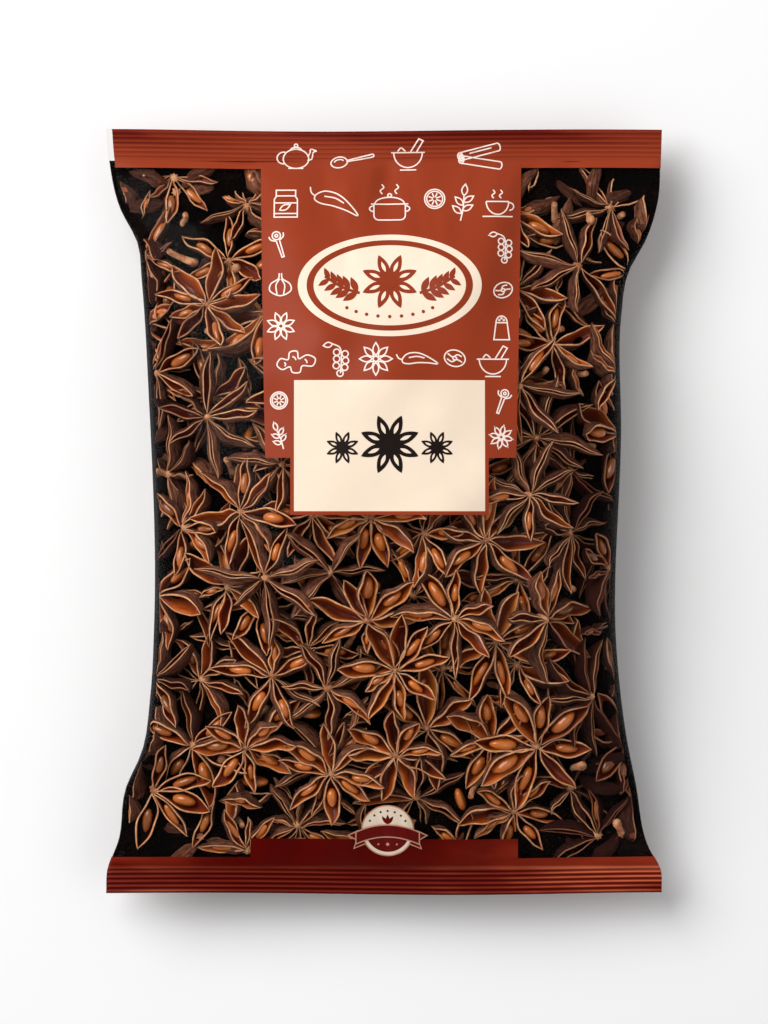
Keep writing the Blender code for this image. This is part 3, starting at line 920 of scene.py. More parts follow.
def draw_oval(marks):
    """The cream oval with its ring, and inside it a star between two leafy twigs over a row of dots."""
    x, y = OVAL_CENTRE
    marks.disc(x, y, OVAL_FIELD, CREAM_INK, FIELD_LIFT, rings=24, around=128)
    turn = np.linspace(0, 2 * pi, 161)
    outer, inner = (polar(x, y, *size, turn) for size in OVAL_RING)
    marks.field(outer, inner, RED_INK, RING_LIFT, rows=4)
    marks.star(x, y + 0.9, 7.2, RED_INK, CREAM_INK, MARK_LIFT)
    for side in (-1, 1):
        stem = curve((x + side * 7.4, y - 2.0), (x + side * 11.5, y - 0.6), (x + side * 16.0, y + 2.2))
        marks.stroke(stem, 0.7, RED_INK, MARK_LIFT)
        for share in (0.12, 0.32, 0.52, 0.72, 0.92):
            place = stem[int(share * (len(stem) - 1))]
            size = 4.4 - 1.3 * share
            for up in (-1, 1):
                marks.blade(*place, 90 - side * (72 - up * 48), size, size * 0.40, RED_INK, MARK_LIFT)
    marks.dots(x, y, OVAL_DOTS, [270 + i * 11 for i in range(-4, 5)], 0.42, RED_INK, MARK_LIFT, 14)


def draw_panel(marks):
    """Dark stars on the cream panel: a large one between two small ones."""
    x, y = PANEL_CENTRE
    for shift, drop, radius in ((0, 0, 7.6), (-11.6, 0.8, 4.2), (11.6, 0.8, 4.2)):
        marks.star(x + shift, y - drop, radius, DARK_INK, CREAM_INK, FIELD_LIFT)


def draw_badge(marks):
    """A round seal without words: a cream dome with dots and a leaf, a ribbon across it, a rim below."""
    x, y = BADGE_CENTRE
    lifts = (FIELD_LIFT, RING_LIFT, BADGE_LIFTS["middle"])
    for share, ink, lift in zip((1, 0.95, 0.83), (EDGE_INK, CREAM_INK, BADGE_INK), lifts):
        marks.disc(x, y, (BADGE_RADIUS * share,), ink, lift, around=96)
    dome = polar(x, y, 0.86 * BADGE_RADIUS, 0.86 * BADGE_RADIUS, np.radians(np.linspace(8, 172, 49)))
    base = np.stack([dome[:, 0], np.full(49, y)], -1)
    marks.field(dome, base, CREAM_INK, BADGE_LIFTS["dome"])
    lift = BADGE_LIFTS["marks"]
    marks.dots(x, y, (5.1,), [30 + i * 20 for i in range(7)], 0.28, DARK_INK, lift, 10)
    for angle in (55, 90, 125):
        marks.blade(x, y + 1.7, angle, 2.5, 0.9, BADGE_INK, lift)
    for place, size in ((-2.3, 0.25), (0, 0.42), (2.3, 0.25)):
        marks.disc(x + place, y - 3.5, (size,), EDGE_INK, lift, 2, 14)
    draw_ribbon(marks, x, y)


def draw_ribbon(marks, x, y):
    """The badge's arched ribbon over its two notched tails, each edged with a pale line."""
    edge, lift = 0.30, BADGE_LIFTS["ribbon"]
    for side in (-1, 1):
        over = np.array([(6.6, 0.0), (7.4, 0.0), (9.8, -1.2)]) * (side, 1) + (x, y)
        under = np.array([(5.6, -3.4), (8.4, -4.6), (7.7, -2.4)]) * (side, 1) + (x, y)
        marks.field(over, under, BADGE_INK, lift, 4)
        marks.stroke(np.concatenate([over, under[2:], under[1:2], under[:1]]), edge, EDGE_INK, lift + HAIR)
    across = np.linspace(-1, 1, 33) * 7.9
    arch = y + (1.5 - 0.030 * across**2)
    over, under = (np.stack([x + across, arch - drop], -1) for drop in (0, 3.1))
    marks.field(over, under, BADGE_INK, lift + 2 * HAIR)
    marks.stroke(np.concatenate([over, under[::-1], over[:1]]), edge, EDGE_INK, lift + 3 * HAIR)


# ---- The star anise ----

SKIN, RIM, LINING, SEED, WOOD = range(5)

# How fine a star is: rows along a follicle, points across its outer and inner face, and round a seed.
FINE = {"rows": 12, "outer": 9, "inner": 7, "seed_rows": 6, "seed_ring": 10}
PLAIN = {"rows": 8, "outer": 7, "inner": 5, "seed_rows": 4, "seed_ring": 8}

FOLLICLE_COUNTS = (6, 7, 7, 8, 8, 8, 8, 9)
HUB_RADIUS = 0.0007  # where the follicles start, from the middle of the star
OPEN_LIP = radians(101)  # from the keel round to the lip, in a follicle that is wide open
CLOSED_LIP = radians(169)

# The sizes of a follicle, each between two bounds, as shares of its length or of half the span.
FOLLICLE_LENGTH = (0.80, 1.08)
STUNTED_STARS = 0.35
STUNTED_LENGTH = (0.55, 0.75)
HALF_WIDTH = (0.135, 0.190)
SHUT_WIDTH = 0.72  # of a shut follicle, against an open one
DEPTH = (0.30, 0.40)
BEAK = (0.02, 0.16)
BEND = (-0.13, 0.13)
GAPE_SHIFT = (-0.35, 0.35)
FIRST_ROW, LAST_ROW = 0.03, 0.985
WIDTH_POWERS = (0.92, 0.85)
DEPTH_POWERS = (0.35, 0.6)
DEEPEST_PLACE = 0.368
RIM_EDGE = 0.965  # of the way from the keel to the lip, where the outer rim starts
LIP_SAG = 0.03
WAVE = 0.0004
RELIEF = 0.13
LEAST_HOLLOW = 0.18  # of the width and of the depth, that the wall leaves
LIP_RAISED = 0.2  # of the wall

TURN_SHIFT = 0.22  # of the angle between follicles
TWIST = 0.45
RISE = (-0.20, 0.14)

SEED_SIZE = (0.225, 0.62, 0.86)  # as a share of the follicle's length, and twice of its half width
SEEDED_FROM = 0.30  # of a full gape
SEEDED_SHARE = 0.66
SEED_VARIES = (0.80, 1.10)
SEED_PLACE = (0.48, 0.58)

HUB_SIZE = 1.35  # in millimetres
STALK_REACH = (6, 12)  # in millimetres


def wavy(rng, shape, *terms):
    """A sum of sines with a random phase for each follicle. Each term is an angle over the surface."""
    total = np.zeros(shape)
    for angle in terms:
        total = total + np.sin(angle + rng.uniform(0, 2 * pi, (shape[0], 1, 1)))
    return total / len(terms)


def follicles(rng, count, span, gape, fineness):
    """The boat-shaped follicles of one star, as closed shells with the points (follicle, row, ring, 3).

    Along a follicle s goes from 0 at the hub to 1 at the beak. Its half width is in proportion to
    s ** 0.92 * (1 - s) ** 0.85 and its depth to s ** 0.35 * (1 - s) ** 0.6. Across, an angle goes from
    one lip under the keel to the other: Y is the half width times its sine, and Z goes down with its
    cosine. The inner face is the same with the wall taken off, and the lips join both faces.
    """
    wall = bpy.context.scene.anise_pods.wall
    each = (count, 1, 1)
    length = span / 2 * rng.uniform(*FOLLICLE_LENGTH, each)
    if rng.random() < STUNTED_STARS:
        length[rng.integers(count)] *= rng.uniform(*STUNTED_LENGTH)
    openness = np.clip(gape + rng.uniform(*GAPE_SHIFT, each), 0, 1)
    lip = CLOSED_LIP + (OPEN_LIP - CLOSED_LIP) * openness
    half_width = length * rng.uniform(*HALF_WIDTH, each) * (SHUT_WIDTH + (1 - SHUT_WIDTH) * openness)
    depth, beak, bend = (length * rng.uniform(*bounds, each) for bounds in (DEPTH, BEAK, BEND))

    def swell(place, start_power, end_power):
        return place**start_power * (1 - place) ** end_power

    s = np.linspace(FIRST_ROW, LAST_ROW, fineness["rows"])[None, :, None]
    outline = swell(s, *WIDTH_POWERS) / swell(WIDTH_POWERS[0] / sum(WIDTH_POWERS), *WIDTH_POWERS)
    belly = swell(s, *DEPTH_POWERS) / swell(DEEPEST_PLACE, *DEPTH_POWERS)
    lips_height = beak * s**3 - LIP_SAG * length * np.sin(pi * s) + WAVE * wavy(rng, each, 9 * s, 15 * s)
    middle = bend * s**2 + WAVE * wavy(rng, each, 7 * s, 12 * s)

    outer_share = np.linspace(-1, 1, fineness["outer"] - 2)
    outer_share = np.sort(np.concatenate([outer_share, [-RIM_EDGE, RIM_EDGE]]))[None, None, :]
    inner_share = np.linspace(-1, 1, fineness["inner"])[None, None, ::-1]

    def face(share, thickness, relief):
        """Y and Z of one face of the shells. Relief swells it a little."""
        angle = lip * share
        wide = np.maximum(half_width * outline - thickness, LEAST_HOLLOW * half_width * outline)
        deep = np.maximum(depth * belly - thickness, LEAST_HOLLOW * depth * belly)
        across = wide * np.sin(angle) * (1 + relief)
        down = deep * (np.cos(angle) - np.cos(lip)) / (1 - np.cos(lip)) * (1 + relief)
        return across, -down

    folds = wavy(rng, each, 9 * outer_share + 4 * s, 5 * outer_share - 9 * s, 17 * s + 6 * outer_share)
    outer = face(outer_share, 0.0, RELIEF * (1 - outer_share**6) * folds)
    inner = face(inner_share, wall, 0.0)
    lips = face(np.array([[[-1.0, 1.0]]]), wall / 2, 0.0)
    raised = LIP_RAISED * wall
    across = [outer[0], lips[0][..., 1:], inner[0], lips[0][..., :1]]
    down = [outer[1], lips[1][..., 1:] + raised, inner[1], lips[1][..., :1] + raised]
    across = np.concatenate(across, -1) + middle
    down = np.concatenate(down, -1) + lips_height
    along = HUB_RADIUS + length * s + 0 * across

    places = np.concatenate([outer_share, [[[1.04]]], inner_share, [[[-1.04]]]], -1)
    places = np.stack(np.broadcast_arrays(s, places), -1) + np.zeros((count, 1, 1, 1))
    hub = np.concatenate([0 * length, 0 * length, -0.30 * depth], -1)
    tip = np.concatenate([HUB_RADIUS + length * 1.01, bend, beak], -1)
    shells = np.stack([along, across, down], -1).reshape(count, -1, 3)
    shells = np.concatenate([shells, hub, tip], axis=1)
    facts = {"length": length, "width": half_width, "depth": depth, "open": openness, "bend": bend}
    return shells, places.reshape(count, -1, 2), facts


def shell_faces(fineness):
    """Faces of one follicle's shell, with skin outside, lining inside and rim round the lips."""
    outer, inner = fineness["outer"], fineness["inner"]
    column = [SKIN] * (outer - 1) + [RIM] * 2 + [LINING] * (inner - 1) + [RIM] * 2
    column[0] = column[outer - 2] = RIM
    faces = tube_faces(fineness["rows"], outer + inner + 2)
    return faces, [np.tile(column, fineness["rows"] - 1), np.tile(column, 2)]


def ellipsoid(rows, ring):
    """Points of a unit ball, row by row along X, with a pole at each end."""
    turn = np.linspace(0, pi, rows + 2)[1:-1, None]
    around = np.arange(ring) * 2 * pi / ring
    ball = [-np.cos(turn) + 0 * around, np.sin(turn) * np.sin(around), -np.sin(turn) * np.cos(around)]
    return np.concatenate([np.stack(ball, -1).reshape(-1, 3), [(-1.0, 0, 0), (1.0, 0, 0)]])


def turned(first, second, angle):
    """Two coordinates after a turn by the angle in their plane."""
    return first * np.cos(angle) - second * np.sin(angle), first * np.sin(angle) + second * np.cos(angle)


def fan_out(points, turns, twist, rise):
    """Turns each follicle's points about its length by the twist, up by the rise, and round the hub."""
    x, y, z = points[..., 0], points[..., 1], points[..., 2]
    y, z = turned(y, z, twist)
    x, z = turned(x, z, rise)
    return np.stack([*turned(x, y, turns), z], -1)


def seeds_in(rng, facts, fineness):
    """Flattened seeds that lie on edge in the open follicles: balls stretched to a seed's three sizes."""
    chance = rng.random(len(facts["open"]))
    held = np.flatnonzero((facts["open"].ravel() > SEEDED_FROM) & (chance < SEEDED_SHARE))
    ball = ellipsoid(fineness["seed_rows"], fineness["seed_ring"])[None]
    length, width, depth, bend = (facts[name][held][..., 0] for name in ("length", "width", "depth", "bend"))
    size = np.stack([length, width, width], -1) * SEED_SIZE
    seeds = ball * (size * rng.uniform(*SEED_VARIES, (len(held), 1, 3)))
    seeds[..., 1] *= 1 - 0.12 * ball[..., 0]
    seeds[..., 0] += HUB_RADIUS + rng.uniform(*SEED_PLACE, (len(held), 1)) * length
    seeds[..., 1] += (bend * 0.28) + rng.uniform(-0.2, 0.2, (len(held), 1)) * MM
    seeds[..., 2] -= 0.17 * depth + 0.35 * width
    return held, seeds


def grow_star(rng, span, gape, fineness, stalk=False, count=None):
    """One star anise about its hub, its open side up, as parts of (points, faces, slots, places, tones)."""
    count = count or int(rng.choice(FOLLICLE_COUNTS))
    shells, places, facts = follicles(rng, count, span, gape, fineness)
    turns = (np.arange(count) + rng.uniform(-TURN_SHIFT, TURN_SHIFT, count))[:, None] / count * 2 * pi
    twist = rng.uniform(-TWIST, TWIST, (count, 1))
    rise = rng.uniform(*RISE, (count, 1))
    tones = rng.random(count)
    faces, slots = shell_faces(fineness)
    shells = fan_out(shells, turns, twist, rise)
    ends = np.array([(0.0, 0.0), (1.0, 0.0)])
    parts = [(shells[i], faces, slots, np.concatenate([places[i], ends]), tones[i]) for i in range(count)]
    held, seeds = seeds_in(rng, facts, fineness)
    seeds = fan_out(seeds, turns[held], twist[held], rise[held])
    seed_faces = tube_faces(fineness["seed_rows"], fineness["seed_ring"])
    seed_places = ellipsoid(fineness["seed_rows"], fineness["seed_ring"])[:, :2]
    for i, seed in zip(held, seeds):
        parts[i] = joined(parts[i], (seed, seed_faces, [SEED, SEED], seed_places, rng.random()))
    if count > 2:
        parts.append(hub_part(rng, facts["depth"].mean()))
    if stalk:
        parts.append(stalk_part(rng, facts["depth"].mean()))
    return parts


def joined(first, second):
    """Two parts as one, so that they stay or go together."""
    count = len(first[0])
    faces = [*first[1], *(corners + count for corners in second[1])]
    tones = np.concatenate([np.full(len(part[0]), part[4]) for part in (first, second)])
    places = np.concatenate([first[3], second[3]])
    return np.concatenate([first[0], second[0]]), faces, [*first[2], *second[2]], places, tones


def hub_part(rng, depth):
    """The woody middle of a star: an upright ball, drawn out downwards, with a rib towards each follicle."""
    ball = ellipsoid(6, 16)
    ribs = 1 + 0.18 * np.cos(8 * np.arctan2(ball[:, 1], ball[:, 2]))
    x, y = (ball[:, i] * ribs * HUB_SIZE * MM for i in (2, 1))
    points = np.stack([x, y, ball[:, 0] * depth * 0.45 - (depth * 0.45 + 0.1 * MM)], -1)
    return points, tube_faces(6, 16), [WOOD, WOOD], ball[:, :2], rng.random()


def stalk_part(rng, depth):
    """The bent stalk under a star: a tube along a parabola, a little thicker at its free end."""
    along = np.linspace(0, 1, 7)[:, None]
    around = np.arange(8) * pi / 4
    reach = rng.uniform(*STALK_REACH) * MM
    radius = (0.75 + 0.45 * along**4) * MM
    lean = rng.uniform(-0.5, 0.5) * reach
    x = radius * np.sin(around) + lean * along**2
    y = radius * np.cos(around) + 0.3 * lean * along**2
    z = -depth * 0.8 - reach * along + 0 * around
    ends = np.array([(0, 0, -depth * 0.7), (lean, 0.3 * lean, -depth * 0.8 - reach * 1.02)])
    points = np.concatenate([np.stack([x, y, z], -1).reshape(-1, 3), ends])
    faces = [corners[:, ::-1] for corners in tube_faces(7, 8)]
    return points, faces, [WOOD, WOOD], points[:, [2, 0]] / MM, rng.random()


def facing(normal, spin):
    """A rotation that spins about Z and then leans Z over to the normal."""
    up = normal / np.linalg.norm(normal)
    side = np.cross((0.0, 1.0, 0.0), up)
    side = side / np.linalg.norm(side)
    lean = np.stack([side, np.cross(up, side), up], axis=1)
    turn = np.array([(cos(spin), -sin(spin), 0), (sin(spin), cos(spin), 0), (0, 0, 1)])
    return lean @ turn


# ---- How the contents lie in the bag ----

PACKING_SEED = 7
CELL = 1.2 * MM  # of the raster that holds the free heights in the bag
CORE_DEPTH = 15 * MM
CORE_SHARE = 0.47  # of the bag's thickness, at most
FILM_GAP = 0.9 * MM  # between the film and what lies under it
TRIES = 22
SHIFT = 4 * MM  # from its place, for a thing that is tried there
MOST_OUTSIDE = 0.64  # of a star that may reach past the bag's edge, where its follicles are broken off
BROKEN_OFF = 0.22  # outside, and a follicle or a seed is left off
PRESSED_SHARE = 0.08
SQUEEZED_SHARE = 0.30
INTERLOCK = 0.35
LEAST_CLEAR = -1.5 * MM
COVER_WORTH = 9 * MM  # how much deeper a thing may lie to cover only bare film
MOST_PRESSED = 1.0 * MM  # that the film moves a follicle's points on average, and more would crush it
LEAST_ROOM = 2.5 * MM  # between the film and the core, for anything to lie there
THICK_ENOUGH = 22 * MM  # of the bag, for a star to lean as far as it likes
STEEPEST = 1.35  # lean of a thing, in radians
STEEPEST_FILM = 1.3
BARE_DEPTH = 0.2 * MM
HEIGHT_SHARES = (0.04, 0.96)  # of a thing's points, between which its height is taken
FLATTENED_TO = 0.9  # of the room's depth, where a thing is higher
DEEPEST_SHARE, DEEPEST_EXTRA = 0.6, 4.0 * MM
NORMAL_REACH = 9  # cells each way, over which the film's slope is taken
INSIDE = 0.99  # of the way to the sides and to the seals, for a cell to be inside
SPREAD_ROWS = 0.866  # height of a triangle with sides of 1

# How close a point may come to the seals and the sides, and how much of what is over it is squeezed in.
BODY_LIMIT, BODY_GIVE = 0.975, 0.015
SIDE_LIMIT, SIDE_GIVE = 0.97, 0.02
GAP_SHARE, GAP_GIVE = 0.35, 0.4

# Stars by the sides get painted shade, between these shares of the half width.
SIDE_SHADE_FROM = 0.44
SIDE_SHADE_TO = 0.78
LEFT_SIDE_SHADE = 0.8
RIGHT_SIDE_SHADE = 1.4
UPPER_RIGHT_SIDE_SHADE = 0.5


class Room:
    """Free space between a ceiling and a floor, both as heights on a raster. Things are packed up against
    the ceiling, one after another, and each lowers it where it lies."""

    def __init__(self, x, y, ceiling, floor, inside, turn_over=False):
        self.x, self.y = x, y
        self.turn = np.diag([-1.0, 1.0, -1.0]) if turn_over else np.eye(3)
        self.film = ceiling.copy()
        self.ceiling = ceiling
        self.floor = floor
        self.inside = inside
        self.wanted = inside & ~(under_label(*np.meshgrid(x, y)) & (not turn_over))

    def cell_at(self, x, y):
        """The row and column of the cell over a place."""
        column = np.clip(np.round((x - self.x[0]) / CELL), 0, len(self.x) - 1).astype(int)
        row = np.clip(np.round((y - self.y[0]) / CELL), 0, len(self.y) - 1).astype(int)
        return row, column

    def cells(self, points):
        """The raster cells that points cover, with the highest and the lowest of them over each."""
        row, column = self.cell_at(points[:, 0], points[:, 1])
        number = row * len(self.x) + column
        order = np.argsort(number, kind="stable")
        cells, first = np.unique(number[order], return_index=True)
        height = points[order, 2]
        return cells, np.maximum.reduceat(height, first), np.minimum.reduceat(height, first)

    def lift_for(self, points):
        """How far a shape can rise, how well it then clears the floor, and how much bare film it covers.

        Both heights are taken over nearly all of the shape, because the film and the neighbours press
        back the last small part of it.
        """
        cells, top, bottom = self.cells(points)
        inside = self.inside.flat[cells]
        if inside.mean() < 1 - MOST_OUTSIDE:
            return None
        cells, top, bottom = cells[inside], top[inside], bottom[inside]
        free = self.ceiling.flat[cells]
        rise = np.quantile(free - top, PRESSED_SHARE)
        clear = np.quantile(bottom + rise - self.floor.flat[cells], SQUEEZED_SHARE)
        return rise, clear, np.mean(self.film.flat[cells] - free < BARE_DEPTH)

    def fill(self, points):
        """Lowers the ceiling to a shape's underside, less the share that the next one may reach into it."""
        cells, top, bottom = self.cells(points)
        level = bottom + INTERLOCK * (top - bottom)
        self.ceiling.flat[cells] = np.minimum(self.ceiling.flat[cells], level)

    def normal(self, x, y):
        """The way the film faces over a place, from its slope over some cells each way."""
        reach = NORMAL_REACH
        row, column = self.cell_at(x, y)
        row = int(np.clip(row, reach, len(self.y) - 1 - reach))
        column = int(np.clip(column, reach, len(self.x) - 1 - reach))
        height = self.film
        across = (height[row, column + reach] - height[row, column - reach]) / (2 * reach * CELL)
        along = (height[row + reach, column] - height[row - reach, column]) / (2 * reach * CELL)
        return np.array([*(-np.clip(slope, -STEEPEST_FILM, STEEPEST_FILM) for slope in (across, along)), 1.0])

    def holds(self, points):
        """Whether enough of a part lies inside the bag for it to be whole."""
        return np.mean(self.inside[self.cell_at(points[:, 0], points[:, 1])]) > 1 - BROKEN_OFF

    def widest_gap(self, reach=3, least=0.45):
        """The middle of the square with the greatest share of bare film, which then isn't asked for again."""
        side = 2 * reach + 1

        def count(cells):
            total = np.pad(cells.astype(float), ((reach + 1, reach), (reach + 1, reach))).cumsum(0).cumsum(1)
            return total[side:, side:] - total[:-side, side:] - total[side:, :-side] + total[:-side, :-side]

        bare = (self.film - self.ceiling < BARE_DEPTH) & self.wanted
        share = count(bare) / np.maximum(count(self.inside), 0.4 * side**2) * self.wanted
        row, column = np.unravel_index(np.argmax(share), share.shape)
        if share[row, column] < least:
            return None
        self.wanted[max(row - 1, 0) : row + 2, max(column - 1, 0) : column + 2] = False
        return np.array([self.x[column], self.y[row]])


def bag_heights():
    """The raster's places, and the heights of the front and the back film over each of them."""
    x = np.arange(-SEAL_HALF_WIDTH, SEAL_HALF_WIDTH + CELL, CELL)
    y = np.arange(-LENGTH / 2, LENGTH / 2 + CELL, CELL)
    wide, high = np.meshgrid(x, y)
    share = np.clip(wide / half_widths(wide, high), -1, 1)
    inside = (np.abs(share) < INSIDE) & (along_body(high) < INSIDE)
    return x, y, front_surface(share, high)[..., 2], back_surface(share, high)[..., 2], inside


def core_depth(thickness):
    """How far the core lies under the film: a fixed depth, or a share of the thickness of a thinner bag."""
    return np.minimum(CORE_DEPTH, CORE_SHARE * thickness)


def held_below(value, limit, give):
    """The value, kept under limit + give: past the limit it gains give * (1 - exp(-over / 3 give))."""
    over = np.maximum(value - limit, 0.0)
    return np.minimum(value, limit) + give * (1 - np.exp(-over / (3 * give)))


def pressed_in(points):
    """The points kept inside the film: first within its sides and seals, then between its two sheets."""
    top, bottom = seal_lines()
    middle, half_body = (top + bottom) / 2, (top - bottom) / 2
    along = points[:, 1] - middle
    along_size = held_below(np.abs(along), BODY_LIMIT * half_body, BODY_GIVE * half_body)
    y = middle + np.sign(along) * along_size
    wide = half_widths(points[:, 0], y)
    share = points[:, 0] / wide
    share = np.sign(share) * held_below(np.abs(share), SIDE_LIMIT, SIDE_GIVE)
    front, back = front_surface(share, y)[:, 2], back_surface(share, y)[:, 2]
    gap = np.minimum(FILM_GAP, GAP_SHARE * (front - back))
    z = held_below(points[:, 2], front - gap, GAP_GIVE * gap)
    z = -held_below(-z, -back - gap, GAP_GIVE * gap)
    return np.stack([share * wide, y, z], -1)


def side_shade_at(points):
    """How much painted shade a thing gets that lies by the sides of the bag, most at the lower right, added
    to its tone.
    """
    x, y, _ = points.mean(0)
    upper = smoothstep(LABEL_BOTTOM - 20 * MM, LABEL_BOTTOM + 20 * MM, y)
    side_shade = LEFT_SIDE_SHADE if x < 0 else RIGHT_SIDE_SHADE + (UPPER_RIGHT_SIDE_SHADE - RIGHT_SIDE_SHADE) * upper
    return side_shade * smoothstep(SIDE_SHADE_FROM, SIDE_SHADE_TO, abs(x) / SEAL_HALF_WIDTH)


def strewn(rng, x, y, spacing, keep_clear=False):
    """Places about a spacing apart: a grid of triangles over the raster, each place shifted at random."""
    kept = []
    for i in range(int((y[-1] - y[0]) / (spacing * SPREAD_ROWS)) + 1):
        for j in range(int((x[-1] - x[0]) / spacing) + 1):
            place = np.array((x[0] + (j + 0.5 * (i % 2)) * spacing, y[0] + i * spacing * SPREAD_ROWS))
            place = place + rng.uniform(-0.16, 0.16, 2) * spacing
            if not (keep_clear and under_label(*place)):
                kept.append(place)
    rng.shuffle(kept)
    return kept


def under_label(x, y, margin=0.012):
    """True where the printed label hides what lies in the bag."""
    wide = (LABEL_LEFT[1][1] + margin < x) & (x < LABEL_RIGHT[1][1] - margin)
    return wide & (LABEL_BOTTOM + margin < y) & (y < LENGTH / 2)


def places_in(room, places=(), *gap):
    """The places, from the last to the first, and then the middle of each widest gap that is left."""
    yield from reversed(places)
    place = room.widest_gap(*gap)
    while place is not None:
        yield place
        place = room.widest_gap(*gap)


def pack_in(shape, room, rng, place, grow, lean, deepest, shift=SHIFT):
    """Tries a thing at a place with several spins and shifts, and adds it to the shape where it lies nearest
    the film and covers most of what is still bare. What reaches past the bag's edge is broken off."""
    here = room.cell_at(*place)
    if not room.inside[here]:
        return
    parts = grow()
    points = np.concatenate([part[0] for part in parts])
    thick = room.film[here] - room.floor[here]
    if thick < LEAST_ROOM:
        return
    height = np.ptp(np.quantile(points[:, 2], HEIGHT_SHARES))
    points = points * (1.0, 1.0, min(1.0, FLATTENED_TO * thick / height))
    deepest = min(deepest, DEEPEST_SHARE * thick + DEEPEST_EXTRA)
    tilt = rng.normal(0, 1, 2)
    tilt = tilt / np.linalg.norm(tilt) * tan(min(lean * min(1.0, thick / THICK_ENOUGH), STEEPEST))
    least_cost, best = inf, None
    for _ in range(TRIES):
        x, y = place + rng.uniform(-1, 1, 2) * shift
        matrix = facing(room.normal(x, y) + np.array([*tilt, 0.0]), rng.uniform(0, 2 * pi))
        fit = room.lift_for(points @ matrix.T + (x, y, 0.0))
        if fit is None:
            continue
        rise, clear, cover = fit
        depth = room.film[room.cell_at(x, y)] - rise
        cost = depth + COVER_WORTH * (1 - cover)
        if clear >= LEAST_CLEAR and depth <= deepest and cost < least_cost:
            least_cost, best = cost, (matrix, np.array([x, y, rise]))
    if best is None:
        return
    laid = np.split(points @ best[0].T + best[1], np.cumsum([len(part[0]) for part in parts])[:-1])
    for points, (_, *rest, tones) in zip(laid, parts):
        placed = points @ room.turn
        pressed = pressed_in(placed)
        moved_by = np.linalg.norm(pressed - placed, axis=1).mean()
        if room.holds(points) and moved_by < MOST_PRESSED:
            room.fill(points)
            # Things by the sides get painted shade through their tone.
            shape.add(pressed, *rest, tones + side_shade_at(pressed))


# ---- Materials ----

WHITE = (1.0, 1.0, 1.0, 1.0)
TONE_SHIFT = 37.0  # of the noise, so that no two follicles have the same furrows
SHEEN_STRETCH = (0.35, 2.2, 1.0)
COAT_ROUGHNESS = 0.08
# Between these tones, painted side shade takes a colour most of the way to dark.
SIDE_SHADE_TONES = (0.9, 2.0)
MOST_SIDE_SHADE = 0.85
CLEARNESS = (0.97, 0.965, 0.96, 1.0)
MIRROR_ROUGHNESS = 0.10  # of what the clear film mirrors
FILM_INDEX = 1.16
FILM_SHINE = 0.3  # share of what it would mirror with that index
MOST_FILM_SHINE = 0.045  # of the light, where the film is seen edge on
RED_EDGE = 0.945  # of the half length, where painted shade starts to darken the upper band in patches
# Of the half length, from where the painted shade in the crimping's troughs deepens towards the upper edge.
RED_TROUGHS = 0.91
FOLD_WIDE = 0.9 * MM  # of the glinting fold over the lower crimping, and how far it lies above it


def add_node(tree, kind, values=None, **properties):
    """A shader node of that kind, its properties set, and its sockets set or linked from other outputs."""
    node = tree.nodes.new("ShaderNode" + kind)
    for name, value in properties.items():
        setattr(node, name, value)
    for name, value in (values or {}).items():
        if isinstance(value, bpy.types.NodeSocket):
            tree.links.new(value, node.inputs[name])
        else:
            node.inputs[name].default_value = value
    return node


def sums(tree, operation, first, second=0.0, clamp=False):
    """The output of a Math node."""
    node = add_node(tree, "Math", {0: first, 1: second}, operation=operation, use_clamp=clamp)
    return node.outputs[0]


def times(tree, first, *others):
    """The product of the values."""
    for other in others:
        first = sums(tree, "MULTIPLY", first, other)
    return first


def plus(tree, first, second, clamp=False):
    return sums(tree, "ADD", first, second, clamp)


def ramp(tree, value, low, high, start=0.0, end=1.0):
    """The value taken smoothly from start, at low, to end, at high."""
    values = {"Value": value, "From Min": low, "From Max": high, "To Min": start, "To Max": end}
    return add_node(tree, "MapRange", values, interpolation_type="SMOOTHSTEP").outputs[0]


def blend_colours(tree, share, first, second):
    """The first colour where the share is 0, and the second where it is 1."""
    node = add_node(tree, "Mix", {0: share, 6: first, 7: second}, data_type="RGBA")
    return node.outputs[2]


def noise(tree, place, scale, detail, roughness):
    values = {"Vector": place, "Scale": scale, "Detail": detail, "Roughness": roughness}
    return add_node(tree, "TexNoise", values).outputs["Fac"]


def own_tone(tree):
    """The piece's own tone: on the stars a random tone, past 1 where painted side shade is added, and 1 on
    the crests of the film's crimping.
    """
    return add_node(tree, "Attribute", attribute_name="tone").outputs["Fac"]


def group_named(name, inputs, build):
    """The node group of that name, built on its first use from a function of its tree and its inputs that
    gives its outputs."""
    if name in bpy.data.node_groups:
        return bpy.data.node_groups[name]
    group = bpy.data.node_groups.new(name, "ShaderNodeTree")
    for socket, value in inputs.items():
        made = group.interface.new_socket(name=socket, in_out="INPUT", socket_type="NodeSocketFloat")
        made.default_value = value
    outputs = build(group, group.nodes.new("NodeGroupInput").outputs)
    for socket in outputs:
        group.interface.new_socket(name=socket, in_out="OUTPUT", socket_type="NodeSocketFloat")
    result = group.nodes.new("NodeGroupOutput")
    for socket, value in outputs.items():
        group.links.new(value, result.inputs[socket])
    return group


def mottle(tree, **values):
    """Cloudy patches of a given size, from noise on the object's own coordinates."""

    def build(group, given):
        place = add_node(group, "TexCoord").outputs["Object"]
        cloud = noise(group, place, given["Scale"], 4.0, 0.6)
        return {"Mask": ramp(group, cloud, given["Low"], given["High"])}

    group = group_named("mottle", {"Scale": 200.0, "Low": 0.35, "High": 0.65}, build)
    return use_group(tree, group, values)["Mask"]


